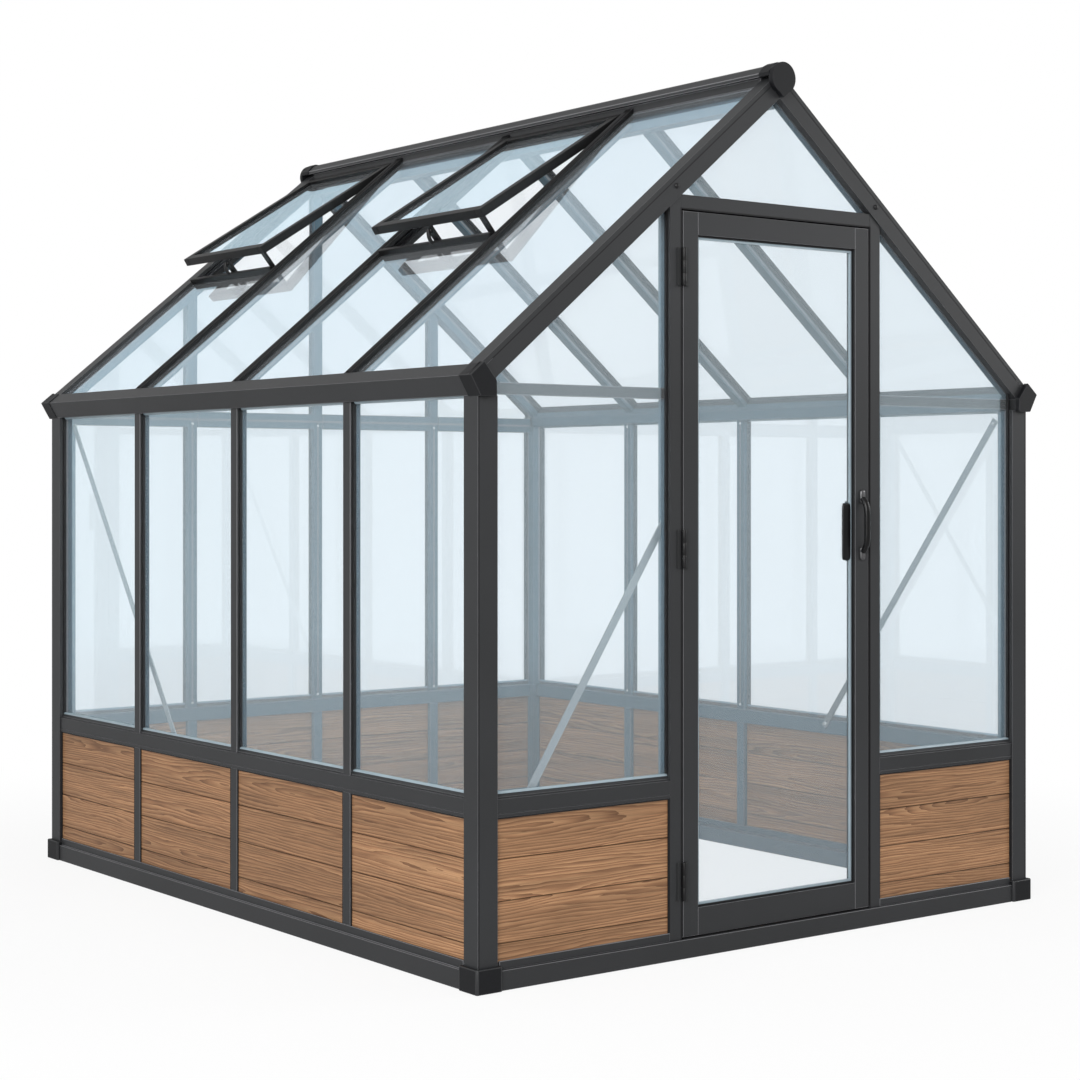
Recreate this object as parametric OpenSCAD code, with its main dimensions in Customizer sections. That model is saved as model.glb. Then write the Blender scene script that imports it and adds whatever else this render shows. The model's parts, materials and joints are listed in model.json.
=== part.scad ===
// Aluminium greenhouse with boarded base panels, a hinged door and two open roof vents.
// Millimetres. Z is up, the ridge runs along Y, the door gable faces -Y,
// and the origin lies on the ground at the middle of the plan.

/* [House] */
// Width over the corner posts, across the gable
house_w = 2020; // [1700:10:3000]
// Length over the corner posts, along the ridge
house_l = 2440; // [1600:10:4000]
// Height of the eave arris above the ground
eave_h = 1512; // [1300:1:1900]
// Pitch of the roof in degrees
pitch = 39.5; // [30:0.5:48]
// Glazed bays along each long side
bays = 4; // [2:1:6]
// Glazed bays across the back gable
back_bays = 4; // [2:2:6]

/* [Frame sections] */
// Side of the square corner post
post = 60; // [54:1:90]
// Metal thickness of the hollow sections
wall = 2.5; // [1.5:0.1:4]
// Face width of glazing bars and panel stiles
bar_w = 36; // [32:1:60]
// Depth of glazing bars, panel stiles and sill rails, measured from the post face
bar_d = 42; // [40:1:52]
// Set-back of bars and stiles from the post face
bar_set = 6; // [2:0.5:8]
// Height of the sill rail's top edge
sill_top = 470; // [300:1:700]
// Height of the sill rail's face
sill_h = 45; // [38:1:70]
// Set-back of the sill rail from the post face
sill_set = 4; // [0:0.5:8]
// Height of the glazing bead on the sill rail
bead_h = 12; // [6:1:20]
// Height of the eave tie bars beside the door
tie_h = 30; // [15:1:34]
// Height of the eave tie bars across the back gable
back_tie_h = 54; // [30:1:70]
// Thickness of the eave tie bars
tie_t = 18; // [6:1:24]

/* [Base] */
// Height of the base rail's face
base_h = 50; // [40:1:90]
// How far the base rail stands out from the posts
base_proud = 4; // [0:1:10]
// Height of the lip that holds the boarded panels
lip_h = 22; // [16:1:40]
// Height of the corner foot
foot_h = 62; // [40:1:64]
// How far the corner foot stands out from the posts
foot_proud = 12; // [6:1:30]
// How far the corner foot reaches past the post along the walls
foot_over = 8; // [4:1:40]
// Thickness of the foot under the post
foot_floor = 6; // [3:1:20]
// Cut at the foot's upright edges
foot_chamfer = 4; // [1:0.5:8]

/* [Roof] */
// Overhang of the eave arris outside the post face
eave_out = 28; // [10:1:60]
// Height of the eave arris over the post tops
eave_drop = 48; // [40:1:90]
// Width of the eave beam's upper face, along the slope
eave_top = 47; // [30:1:70]
// Depth of the gable rafters, square to the slope
rafter_h = 56; // [50:1:64]
// Width of the gable rafters, along the ridge
rafter_w = 50; // [42:1:80]
// Depth of the roof bars
roof_bar_h = 44; // [34:1:48]
// Width of the ridge beam's body
ridge_w = 52; // [40:1:80]
// Overhang of the ridge capping on each side of the body
ridge_lip = 14; // [6:1:24]
// Rise of the ridge capping over the point where the roof planes meet
ridge_rise = 21; // [10:1:40]
// Length of the plastic end caps along the beams
cap_l = 55; // [30:1:90]
// How far the end caps stand out from the gable
cap_proud = 16; // [6:1:40]
// Wall of the end caps
cap_wall = 3; // [2:0.5:6]

/* [Glazing] */
// Glass thickness
glass_t = 4; // [3:0.5:6]
// Set-back of the wall glass from the post face
glass_set = 22; // [18:0.5:24]
// Set-back of the roof glass below the top of the rafters
roof_set = 12; // [6:0.5:16]
// Depth of the glazing grooves
groove = 10; // [6:0.5:12]
// Clearance of glass and panels in their grooves
seat_gap = 0.3; // [0.1:0.1:1]

/* [Boarded panels] */
// Thickness of the boards
panel_t = 16; // [10:1:18]
// Set-back of the boards from the post face
panel_set = 10; // [9:0.5:12]
// Cover height of one board
board_h = 104; // [60:1:160]
// Width of the vee between two boards
vee_w = 5; // [2:0.5:10]
// Depth of the vee between two boards
vee_d = 2.5; // [1:0.5:4]

/* [Door] */
// Width of the door leaf
door_w = 690; // [500:5:860]
// Clearance round the leaf
door_gap = 5; // [5:0.5:10]
// Face width of the jambs
jamb_w = 40; // [32:1:70]
// Set-back of jambs and leaf from the post face
jamb_set = 4; // [0:0.5:8]
// Thickness of the leaf
leaf_t = 36; // [30:1:50]
// Thickness of the stop behind the leaf
stop_t = 9; // [5:1:16]
// How far the stop reaches into the opening
stop_w = 12; // [8:1:18]
// Height of the header over the leaf
header_h = 38; // [30:1:70]
// Width of the leaf's stiles
stile_w = 53; // [40:1:90]
// Height of the leaf's top rail
top_rail_h = 60; // [40:1:110]
// Height of the leaf's bottom rail
bottom_rail_h = 73; // [40:1:200]
// Height of one hinge
hinge_h = 100; // [60:1:160]
// Diameter of the hinge barrel
barrel_d = 12; // [10:0.5:13]
// Diameter of the hinge pin
pin_d = 7; // [4:0.5:8]
// Radial play of the hinge pin
pin_gap = 0.3; // [0.1:0.1:0.5]
// Play between the two halves of a hinge
hinge_gap = 0.4; // [0.3:0.1:1]
// Width of one hinge plate
plate_w = 12; // [8:1:20]
// Thickness of the hinge plates
plate_t = 3; // [2:0.5:4]
// Distance of the end hinges' middles from the ends of the leaf
hinge_end = 148; // [100:1:260]
// Height of the middle hinge
hinge_mid = 1075; // [800:1:1200]
// Height of the middle of the handles
handle_z = 1130; // [850:5:1300]
// Drop of the inside pull's middle below the outside one's
inner_pull_drop = 18; // [0:1:60]
// Length of the outside pull
pull_l = 200; // [120:5:320]
// Standing height of the outside pull
pull_out = 42; // [36:1:70]
// Thickness of the pull's grip
grip_t = 14; // [8:1:20]
// Width of the pulls
pull_w = 20; // [12:1:36]
// Length of the inside pull
inner_pull_l = 172; // [120:2:280]
// Standing height of the inside pull
inner_pull_out = 40; // [28:1:60]

/* [Roof vents] */
// Length of a vent sash along the slope
vent_len = 600; // [400:5:800]
// Opening angle of the vents in degrees
vent_angle = 7.5; // [3:0.5:30]
// Depth of the sash section
sash_d = 26; // [20:1:40]
// Face width of the sash section
sash_w = 28; // [20:1:60]
// Clearance of the sash beside the bars
sash_gap = 6; // [3:0.5:10]
// Distance of the vent hinge from the middle of the ridge
vent_back = 44; // [42:1:80]
// Width of the ledge round a vent opening
curb_w = 24; // [16:1:50]
// Rise of the slam bar's upstand above the top of the bars
curb_rise = 8; // [0:0.5:14]
// Width of the stay's foot in the middle of a vent
stay_w = 40; // [20:1:60]
// Thickness of the stay
stay_t = 9; // [4:0.5:14]
// Width of the prop at a vent's front corner
prop = 20; // [10:1:24]

/* [Wind braces] */
// Width of a brace
brace_w = 22; // [12:1:40]
// Thickness of a brace
brace_t = 4; // [2:0.5:8]

/* [Hidden] */
$fn = 48;
half_w = house_w / 2;
half_l = house_l / 2;
bay = house_l / bays;
back_bay = house_w / back_bays;
lines = [for (i = [1 : bays - 1]) -half_l + i * bay];
back_lines = [for (i = [1 : back_bays - 1]) -half_w + i * back_bay];
vent_bays = [for (i = [1 : 2 : bays - 1]) i];

run = half_w + eave_out;
apex = eave_h + run * tan(pitch);
slope = run / cos(pitch);
post_top = eave_h - eave_drop;
sill_under = sill_top - sill_h;
lip_top = base_h + lip_h;
panel_seat = 8;
panel_lo = lip_top - panel_seat + seat_gap;
panel_hi = sill_under + panel_seat - seat_gap;
pane_lo = sill_top - panel_seat + seat_gap;
ridge_foot = apex - rafter_h / cos(pitch) - ridge_w / 2 * tan(pitch);

jamb_in = door_w / 2 + door_gap;
jamb_out = jamb_in + jamb_w;
stop_set = jamb_set + leaf_t + door_gap;
jamb_d = stop_set + stop_t;
header_top = roof_z(jamb_in) - rafter_h / cos(pitch);
leaf_lo = base_h + door_gap;
leaf_hi = header_top - header_h - door_gap;
hinge_x = -door_w / 2 - door_gap / 2;
hinge_set = jamb_set - barrel_d / 2 - 1.5;
hinge_heights = [leaf_lo + hinge_end, hinge_mid, leaf_hi - hinge_end];
handle_x = door_w / 2 - stile_w / 2;

vent_hinge = (run - vent_back) / cos(pitch);
curb_top = sash_d + 0.5;
slam_up = groove + wall;
slam_at = vent_hinge - vent_len - slam_up - 2;
ledge_at = slam_at + slam_up;
capping_under = 14;
knuckle = hinge_h / 3;
pane_head = (run - ridge_w / 2 - (roof_set + glass_t) * sin(pitch)) / cos(pitch);
tie_z = post_top + 4;
back_tie_z = post_top + 30 - back_tie_h;
eave_inner = -half_w - eave_out + eave_top * cos(pitch) + rafter_h * sin(pitch);

frame_grey = "#404246";
cap_black = "#26282b";
glass_blue = [0.80, 0.90, 0.95, 0.35];
board_brown = "#94694a";
metal_grey = "#a3aaae";

function roof_z(x) = eave_h + (run - abs(x)) * tan(pitch);
function under_z(x, d) = roof_z(x) - d / cos(pitch);
function wall_lo(i) = i == 0 ? -half_l + post : lines[i - 1] + bar_w / 2;
function wall_hi(i) = i == bays - 1 ? half_l - post : lines[i] - bar_w / 2;
function roof_lo(i) = i == 0 ? -half_l + rafter_w : lines[i - 1] + bar_w / 2;
function roof_hi(i) = i == bays - 1 ? half_l - rafter_w : lines[i] - bar_w / 2;
function back_lo(i) = i == 0 ? -half_w + post : back_lines[i - 1] + bar_w / 2;
function back_hi(i) = i == back_bays - 1 ? half_w - post : back_lines[i] - bar_w / 2;
function is_vented(i) = len([for (v = vent_bays) if (v == i) v]) > 0;

// Corners of a convex outline moved inwards by d, for outlines that run anticlockwise
function inset(p, d) = [
    for (i = [0 : len(p) - 1])
        let (n = len(p), a = p[(i + n - 1) % n], b = p[i], c = p[(i + 1) % n])
        let (u = (b - a) / norm(b - a), v = (c - b) / norm(c - b))
        b + d * ([-u[1], u[0]] + [-v[1], v[0]]) / (1 + u * v)
];

corner_feet();
side_base_rails();
front_base_rail();
front_base_lips();
back_base_rail();
corner_posts();
side_sill_rails();
front_sill_rails();
back_sill_rail();
side_wall_bars();
back_wall_bars();
side_panel_stiles();
back_panel_stiles();
eave_beams();
eave_caps();
ridge_beam();
ridge_caps();
front_rafters();
back_rafters();
left_roof_bars();
right_roof_bars();
door_jambs();
door_header();
front_tie_bars();
back_tie_bars();
side_boards();
front_boards();
back_boards();
left_wall_glass();
right_wall_glass();
front_glass();
back_glass();
left_roof_glass();
right_roof_glass();
vent_slam_bars();
vent_curb_sides();
vent_stiles();
vent_rails();
vent_glass();
vent_stays();
wind_braces();
frame_hinges();
door_stiles();
door_rails();
door_glass();
door_hinges();
outside_pull();
inside_pull();

// Placing. Wall sections are drawn with X as the depth behind the post face.

module both_sides() {
    children();
    mirror([1, 0, 0]) children();
}

module both_ends() {
    children();
    mirror([0, 1, 0]) children();
}

// A section in depth and height, run along the left wall
module left_run(y0, y1) {
    translate([-half_w, y1, 0]) rotate([90, 0, 0]) linear_extrude(y1 - y0) children();
}

// A section in depth and height, run along the front gable
module front_run(x0, x1) {
    translate([x0, -half_l, 0]) rotate([90, 0, 90]) linear_extrude(x1 - x0) children();
}

// A plan section in depth and width, standing in the left wall
module left_upright(y, z0, z1) {
    translate([-half_w, y, z0]) linear_extrude(z1 - z0) children();
}

// A plan section in depth and width, standing in the front gable
module front_upright(x, z0, z1) {
    translate([x, -half_l, z0]) linear_extrude(z1 - z0) mirror([1, -1, 0]) children();
}

// An outline in X and Z, made as thick as t at the depth d behind the front gable's face
module front_sheet(d, t) {
    translate([0, -half_l + d + t, 0]) rotate([90, 0, 0]) linear_extrude(t) children();
}

// The left roof plane: X runs up the slope from the eave arris, Z stands square to the roof
module on_left_roof() {
    translate([-run, 0, eave_h]) rotate([0, -pitch, 0]) children();
}

// A section in Y and height over the roof plane, run up the slope
module up_slope(s0, s1) {
    translate([s0, 0, 0]) rotate([90, 0, 90]) linear_extrude(s1 - s0) children();
}

// The space past the side of the ridge beam's body
module past_ridge() {
    translate([-ridge_w / 2, -house_l, 0]) cube([house_w, 2 * house_l, 2 * apex]);
}

// The space past the middle plane, and the space over the underside of the ridge capping
module past_mitre() {
    translate([-seat_gap / 2, -house_l, 0]) cube([house_w, 2 * house_l, 2 * apex]);
    translate([-house_w, -house_l, apex - capping_under - seat_gap])
        cube([2 * house_w, 2 * house_l, apex]);
}

// The space over the underside of the left front rafter
module over_rafter() {
    on_left_roof() translate([-house_w, -house_l, -rafter_h]) cube([3 * house_w, 2 * house_l, house_w]);
}

// Sections

module glass_slot(depth) {
    translate([glass_set - seat_gap, -depth]) square([glass_t + 2 * seat_gap, 2 * depth]);
}

module board_slot(depth) {
    translate([panel_set - seat_gap, -depth]) square([panel_t + 2 * seat_gap, 2 * depth]);
}

module sill_section() {
    difference() {
        translate([sill_set, sill_under]) square([bar_d - sill_set, sill_h]);
        translate([0, sill_top]) glass_slot(panel_seat);
        translate([0, sill_under]) board_slot(panel_seat);
        translate([sill_set - 1, sill_under + panel_seat]) square([3, 2]);
        translate([sill_set + wall, sill_under + panel_seat + wall])
            square([bar_d - sill_set - 2 * wall, sill_h - 2 * panel_seat - 2 * wall]);
    }
}

module bead_section() {
    translate([glass_set - seat_gap - bead_h, sill_top])
        polygon([[0, 0], [bead_h, 0], [bead_h, bead_h], [bead_h * 0.6, bead_h], [0, bead_h * 0.4]]);
}

module base_section() {
    difference() {
        translate([-base_proud, 0]) square([post + base_proud - 4, base_h]);
        translate([wall - base_proud, wall])
            square([post + base_proud - 4 - 2 * wall, base_h - 2 * wall]);
    }
}

module lip_section() {
    difference() {
        translate([panel_set - 6, base_h]) square([panel_t + 12, lip_h]);
        translate([0, lip_top]) board_slot(panel_seat);
    }
}

module board_section() {
    vees = [for (z = [sill_under - board_h : -board_h : lip_top + vee_w * 2]) z];
    difference() {
        translate([panel_set, panel_lo]) square([panel_t, panel_hi - panel_lo]);
        for (z = vees) {
            translate([panel_set, z]) polygon([[0, -vee_w / 2], [vee_d, 0], [0, vee_w / 2], [-1, 0]]);
            translate([panel_set + panel_t, z])
                polygon([[0, -vee_w / 2], [1, 0], [0, vee_w / 2], [-vee_d, 0]]);
        }
    }
}

module bar_section() {
    core = glass_set + glass_t + seat_gap + wall;
    difference() {
        translate([bar_set, -bar_w / 2]) square([bar_d - bar_set, bar_w]);
        translate([0, bar_w / 2]) glass_slot(groove);
        translate([0, -bar_w / 2]) glass_slot(groove);
        translate([core, -bar_w / 2 + wall]) square([bar_d - wall - core, bar_w - 2 * wall]);
    }
}

module stile_section() {
    core = panel_set + panel_t + seat_gap + wall;
    difference() {
        translate([bar_set, -bar_w / 2]) square([bar_d - bar_set, bar_w]);
        translate([0, bar_w / 2]) board_slot(groove);
        translate([0, -bar_w / 2]) board_slot(groove);
        translate([core, -bar_w / 2 + wall]) square([bar_d - wall - core, bar_w - 2 * wall]);
    }
}

module roof_slot(depth) {
    translate([-depth, -roof_set - glass_t - seat_gap]) square([2 * depth, glass_t + 2 * seat_gap]);
}

module rafter_section() {
    difference() {
        translate([0, -rafter_h]) square([rafter_w, rafter_h]);
        translate([rafter_w, 0]) roof_slot(groove);
        translate([0, -rafter_h]) glass_slot(groove);
        translate([-1, -rafter_h / 4]) square([1 + wall / 2, 2]);
        translate([wall, -rafter_h + groove + wall])
            square([rafter_w - groove - 2 * wall, rafter_h - groove - 2 * wall]);
    }
}

module roof_bar_section() {
    core = roof_set + glass_t + seat_gap + wall;
    difference() {
        translate([-bar_w / 2, -roof_bar_h]) square([bar_w, roof_bar_h]);
        translate([bar_w / 2, 0]) roof_slot(groove);
        translate([-bar_w / 2, 0]) roof_slot(groove);
        translate([wall - bar_w / 2, wall - roof_bar_h])
            square([bar_w - 2 * wall, roof_bar_h - core - wall]);
    }
}

// Outline of the eave beam, from the foot of its outer face round to the arris
eave_arris = [-eave_out, eave_h];
eave_crest = eave_arris + eave_top * [cos(pitch), sin(pitch)];
eave_back = eave_crest + rafter_h * [sin(pitch), -cos(pitch)];
eave_outline = [[0, post_top], [eave_back[0], post_top], eave_back, eave_crest, eave_arris];

module eave_section() {
    difference() {
        polygon(eave_outline);
        polygon(inset(eave_outline, groove + wall));
        translate([0, post_top]) glass_slot(groove);
        translate(eave_arris) rotate(pitch) translate([eave_top, 0]) roof_slot(groove);
    }
}

ridge_half = ridge_w / 2 + ridge_lip;
ridge_outline = [
    [ridge_half, -capping_under], [ridge_half, -4], [ridge_half * 0.55, ridge_rise * 0.67],
    [ridge_half * 0.2, ridge_rise], [-ridge_half * 0.2, ridge_rise],
    [-ridge_half * 0.55, ridge_rise * 0.67], [-ridge_half, -4],
    [-ridge_half, -capping_under]
];

module ridge_body() {
    difference() {
        translate([-ridge_w / 2, ridge_foot - apex]) square([ridge_w, apex - ridge_foot - 10]);
        translate([-ridge_w / 2 + groove + wall, ridge_foot - apex + wall])
            square([ridge_w - 2 * groove - 2 * wall, apex - ridge_foot - 10 - 2 * wall]);
    }
}

// Base

module corner_feet() {
    side = post + foot_proud + foot_over;
    c = foot_chamfer;
    color(cap_black) both_sides() both_ends()
        translate([-half_w - foot_proud, -half_l - foot_proud, 0])
            difference() {
                linear_extrude(foot_h)
                    polygon([[c, 0], [side - c, 0], [side, c], [side, side], [c, side],
                        [0, side - c], [0, c]]);
                translate([foot_proud - seat_gap, foot_proud - seat_gap, foot_floor])
                    cube([post + 2 * seat_gap, post + 2 * seat_gap, foot_h]);
            }
}

module side_base_rails() {
    y = half_l - post - foot_over;
    color(frame_grey) both_sides() left_run(-y, y) {
        base_section();
        lip_section();
    }
}

module front_base_rail() {
    x = half_w - post - foot_over;
    color(frame_grey) front_run(-x, x) base_section();
}

module front_base_lips() {
    color(frame_grey) both_sides() front_run(-half_w + post + foot_over, -jamb_out) lip_section();
}

module back_base_rail() {
    x = half_w - post - foot_over;
    color(frame_grey) mirror([0, 1, 0]) front_run(-x, x) {
        base_section();
        lip_section();
    }
}

// Walls

module corner_posts() {
    color(frame_grey) both_sides() both_ends()
        translate([-half_w, -half_l, 0]) difference() {
            translate([0, 0, foot_floor]) cube([post, post, post_top - foot_floor]);
            translate([wall, wall, 0])
                cube([post - groove - 2 * wall, post - groove - 2 * wall, eave_h]);
            translate([0, post, sill_top - panel_seat]) linear_extrude(eave_h) glass_slot(groove);
            translate([post, 0, sill_top - panel_seat]) linear_extrude(eave_h)
                mirror([1, -1, 0]) glass_slot(groove);
            translate([0, post, lip_top - panel_seat]) linear_extrude(panel_hi + 1 - lip_top + panel_seat)
                board_slot(groove);
            translate([post, 0, lip_top - panel_seat]) linear_extrude(panel_hi + 1 - lip_top + panel_seat)
                mirror([1, -1, 0]) board_slot(groove);
        }
}

module side_sill_rails() {
    color(frame_grey) both_sides() {
        left_run(-half_l + post, half_l - post) sill_section();
        for (i = [0 : bays - 1]) left_run(wall_lo(i), wall_hi(i)) bead_section();
    }
}

module front_sill_rails() {
    color(frame_grey) both_sides() front_run(-half_w + post, -jamb_out) {
        sill_section();
        bead_section();
    }
}

module back_sill_rail() {
    color(frame_grey) mirror([0, 1, 0]) {
        front_run(-half_w + post, half_w - post) sill_section();
        for (i = [0 : back_bays - 1]) front_run(back_lo(i), back_hi(i)) bead_section();
    }
}

module side_wall_bars() {
    color(frame_grey) both_sides() for (y = lines) left_upright(y, sill_top, post_top) bar_section();
}

module back_wall_bars() {
    color(frame_grey) mirror([0, 1, 0]) for (x = back_lines)
        difference() {
            front_upright(x, sill_top, apex) bar_section();
            over_rafter();
            mirror([1, 0, 0]) over_rafter();
        }
}

module side_panel_stiles() {
    color(frame_grey) both_sides() for (y = lines) left_upright(y, lip_top, sill_under) stile_section();
}

module back_panel_stiles() {
    color(frame_grey) mirror([0, 1, 0]) for (x = back_lines)
        front_upright(x, lip_top, sill_under) stile_section();
}

module side_boards() {
    fit = groove - 1;
    color(board_brown) both_sides() for (i = [0 : bays - 1])
        left_run(wall_lo(i) - fit, wall_hi(i) + fit) board_section();
}

module front_boards() {
    fit = groove - 1;
    color(board_brown) both_sides() front_run(-half_w + post - fit, -jamb_out + fit) board_section();
}

module back_boards() {
    fit = groove - 1;
    color(board_brown) mirror([0, 1, 0]) for (i = [0 : back_bays - 1])
        front_run(back_lo(i) - fit, back_hi(i) + fit) board_section();
}

module wall_panes() {
    fit = groove - 1;
    for (i = [0 : bays - 1])
        translate([-half_w + glass_set, wall_lo(i) - fit, pane_lo])
            cube([glass_t, wall_hi(i) - wall_lo(i) + 2 * fit, post_top + fit - pane_lo]);
}

module left_wall_glass() {
    color(glass_blue) wall_panes();
}

module right_wall_glass() {
    color(glass_blue) mirror([1, 0, 0]) wall_panes();
}

// Gables

// A pane that runs up into the grooves of the rafters
module gable_pane(x0, x1, z0) {
    cover = rafter_h - groove + 1;
    crown = x0 < 0 && x1 > 0 ? [[0, under_z(0, cover)]] : [];
    front_sheet(glass_set, glass_t)
        polygon(concat([[x0, z0], [x1, z0], [x1, under_z(x1, cover)]], crown, [[x0, under_z(x0, cover)]]));
}

module front_glass() {
    fit = groove - 1;
    over_door = jamb_in - 2;
    color(glass_blue) {
        both_sides() gable_pane(-half_w + post - fit, -jamb_out + fit, pane_lo);
        gable_pane(-over_door, over_door, header_top - panel_seat + seat_gap);
    }
}

module back_glass() {
    fit = groove - 1;
    color(glass_blue) mirror([0, 1, 0]) for (i = [0 : back_bays - 1])
        gable_pane(back_lo(i) - fit, back_hi(i) + fit, pane_lo);
}

module door_jambs() {
    mid = jamb_w / 2;
    color(frame_grey) both_sides() difference() {
        union() {
            front_upright(-jamb_in - mid, base_h, apex)
                translate([jamb_set, -mid]) square([jamb_d - jamb_set, jamb_w]);
            front_upright(-jamb_in - mid, base_h, header_top - header_h)
                translate([stop_set, mid]) square([stop_t, stop_w]);
        }
        front_upright(-jamb_out, sill_top - panel_seat, apex) glass_slot(groove);
        front_upright(-jamb_out, lip_top - panel_seat, panel_hi + 1) board_slot(groove);
        front_upright(-jamb_in, 0, apex)
            translate([jamb_set + wall, groove + wall - jamb_w])
                square([jamb_d - jamb_set - 2 * wall, jamb_w - groove - 2 * wall]);
        over_rafter();
    }
}

module door_header() {
    color(frame_grey) difference() {
        front_run(-jamb_in, jamb_in) difference() {
            union() {
                translate([jamb_set, header_top - header_h]) square([jamb_d - jamb_set, header_h]);
                translate([stop_set, header_top - header_h - stop_w]) square([stop_t, stop_w + 1]);
            }
            translate([0, header_top]) glass_slot(panel_seat);
            translate([jamb_set + wall, header_top - header_h + wall])
                square([jamb_d - jamb_set - 2 * wall, header_h - panel_seat - 2 * wall]);
        }
        both_sides() translate([-jamb_in - 1, -half_l + stop_set - 1, 0])
            cube([stop_w + 1, stop_t + 2, header_top - header_h]);
    }
}

module tie_bar(x0, x1, z, h) {
    difference() {
        translate([x0, -half_l + glass_set + glass_t + 2, z]) cube([x1 - x0, tie_t, h]);
        over_rafter();
        mirror([1, 0, 0]) over_rafter();
    }
}

module front_tie_bars() {
    color(frame_grey) both_sides() tie_bar(eave_inner, -jamb_out, tie_z, tie_h);
}

module back_tie_bars() {
    color(frame_grey) mirror([0, 1, 0]) for (i = [0 : back_bays - 1])
        tie_bar(back_lo(i), back_hi(i), back_tie_z, back_tie_h);
}

// Eaves, ridge and roof

module eave_beams() {
    color(frame_grey) both_sides() left_run(-half_l, half_l) eave_section();
}

// A five-sided plate in front of the beam, with a skirt over the beam's two outer faces
module eave_caps() {
    grown = inset(eave_outline, -cap_wall);
    skirt = [grown[0], eave_outline[0] + [-seat_gap, 0], eave_arris + [-seat_gap, 0] * 1.2,
        eave_crest + seat_gap * [-sin(pitch), cos(pitch)],
        grown[3] - cap_wall * [cos(pitch), sin(pitch)], grown[4]];
    color(cap_black) both_sides() both_ends() {
        left_run(-half_l - cap_proud, -half_l - seat_gap) polygon(grown);
        left_run(-half_l - seat_gap - 1, -half_l + cap_l - cap_proud) polygon(skirt);
    }
}

module ridge_beam() {
    color(frame_grey) difference() {
        union() {
            translate([0, half_l, apex]) rotate([90, 0, 0]) linear_extrude(house_l) polygon(ridge_outline);
            translate([0, half_l - rafter_w, apex]) rotate([90, 0, 0])
                linear_extrude(house_l - 2 * rafter_w) ridge_body();
        }
        both_sides() on_left_roof() up_slope(pane_head - 40, pane_head + groove)
            translate([-house_l, -roof_set - glass_t - seat_gap])
                square([2 * house_l, glass_t + 2 * seat_gap]);
    }
}

// A drop-shaped plate in front of the beam, with a skirt over the ridge capping
module ridge_caps() {
    r = ridge_half + cap_wall;
    drop = 1.23 * r;
    mid = ridge_rise + cap_wall - r;
    ease = (r + cap_wall) / r;
    color(cap_black) both_ends() translate([0, -half_l, apex]) rotate([90, 0, 0]) {
        translate([0, 0, seat_gap]) linear_extrude(cap_proud - seat_gap) translate([0, mid]) {
            circle(r);
            polygon([[-r * 0.82, -r * 0.58], [0, -drop], [r * 0.82, -r * 0.58], [0, 0]]);
        }
        translate([0, 0, cap_proud - cap_l]) linear_extrude(cap_l - cap_proud + seat_gap + 1) difference() {
            polygon([for (p = ridge_outline)
                [p[0] + sign(p[0]) * cap_wall, p[1] + (p[1] > 0 ? cap_wall : 0)]]);
            polygon([for (p = ridge_outline)
                [p[0] + sign(p[0]) * seat_gap, p[1] + (p[1] > 0 ? seat_gap : (p[1] < -10 ? -1 : 0))]]);
        }
    }
}

module gable_rafters() {
    both_sides() difference() {
        on_left_roof() up_slope(eave_top, slope) translate([-half_l, 0]) rafter_section();
        past_mitre();
    }
}

module front_rafters() {
    color(frame_grey) gable_rafters();
}

module back_rafters() {
    color(frame_grey) mirror([0, 1, 0]) gable_rafters();
}

module roof_bars() {
    difference() {
        on_left_roof() for (y = lines) up_slope(eave_top, slope) translate([y, 0]) roof_bar_section();
        past_ridge();
    }
}

module left_roof_bars() {
    color(frame_grey) roof_bars();
}

module right_roof_bars() {
    color(frame_grey) mirror([1, 0, 0]) roof_bars();
}

// One roof pane in bay i, from the eave up to the height s1 on the slope
module roof_pane(i, s1) {
    fit = groove - 1;
    s0 = eave_top - fit;
    on_left_roof() translate([s0, roof_lo(i) - fit, -roof_set - glass_t])
        cube([s1 - s0, roof_hi(i) - roof_lo(i) + 2 * fit, glass_t]);
}

module left_roof_glass() {
    fit = groove - 1;
    color(glass_blue) for (i = [0 : bays - 1])
        roof_pane(i, is_vented(i) ? slam_at + fit : pane_head + fit);
}

module right_roof_glass() {
    color(glass_blue) mirror([1, 0, 0]) for (i = [0 : bays - 1]) roof_pane(i, pane_head + groove - 1);
}

// Roof vents on the left slope

// The slam bar: an upstand that holds the pane below it, and a ledge under the sash
module vent_slam_bars() {
    color(frame_grey) for (i = vent_bays)
        on_left_roof() translate([slam_at, roof_hi(i), 0]) rotate([90, 0, 0])
            linear_extrude(roof_hi(i) - roof_lo(i)) difference() {
                polygon([[0, -roof_bar_h], [slam_up + curb_w, -roof_bar_h], [slam_up + curb_w, -curb_top],
                    [slam_up, -curb_top], [slam_up, curb_rise], [0, curb_rise]]);
                translate([-1, -roof_set - glass_t - seat_gap])
                    square([groove + 1, glass_t + 2 * seat_gap]);
            }
}

module vent_curb_sides() {
    s0 = ledge_at + curb_w;
    color(frame_grey) for (i = vent_bays)
        difference() {
            on_left_roof() for (y = [roof_lo(i), roof_hi(i) - curb_w])
                translate([s0, y, -roof_bar_h]) cube([slope - s0, curb_w, roof_bar_h - curb_top]);
            past_ridge();
        }
}

// The opened sash's own frame: X runs from the hinge towards the ridge, Z is the sash's upper side
module on_sash() {
    on_left_roof() translate([vent_hinge, 0, seat_gap - curb_top]) rotate([0, vent_angle, 0]) children();
}

module sash_groove(y0, y1) {
    translate([-vent_len + sash_w - 8, y0 - 8, sash_d / 2 - glass_t / 2 - seat_gap])
        cube([vent_len - 2 * sash_w + 16, y1 - y0 + 16, glass_t + 2 * seat_gap]);
}

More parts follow.
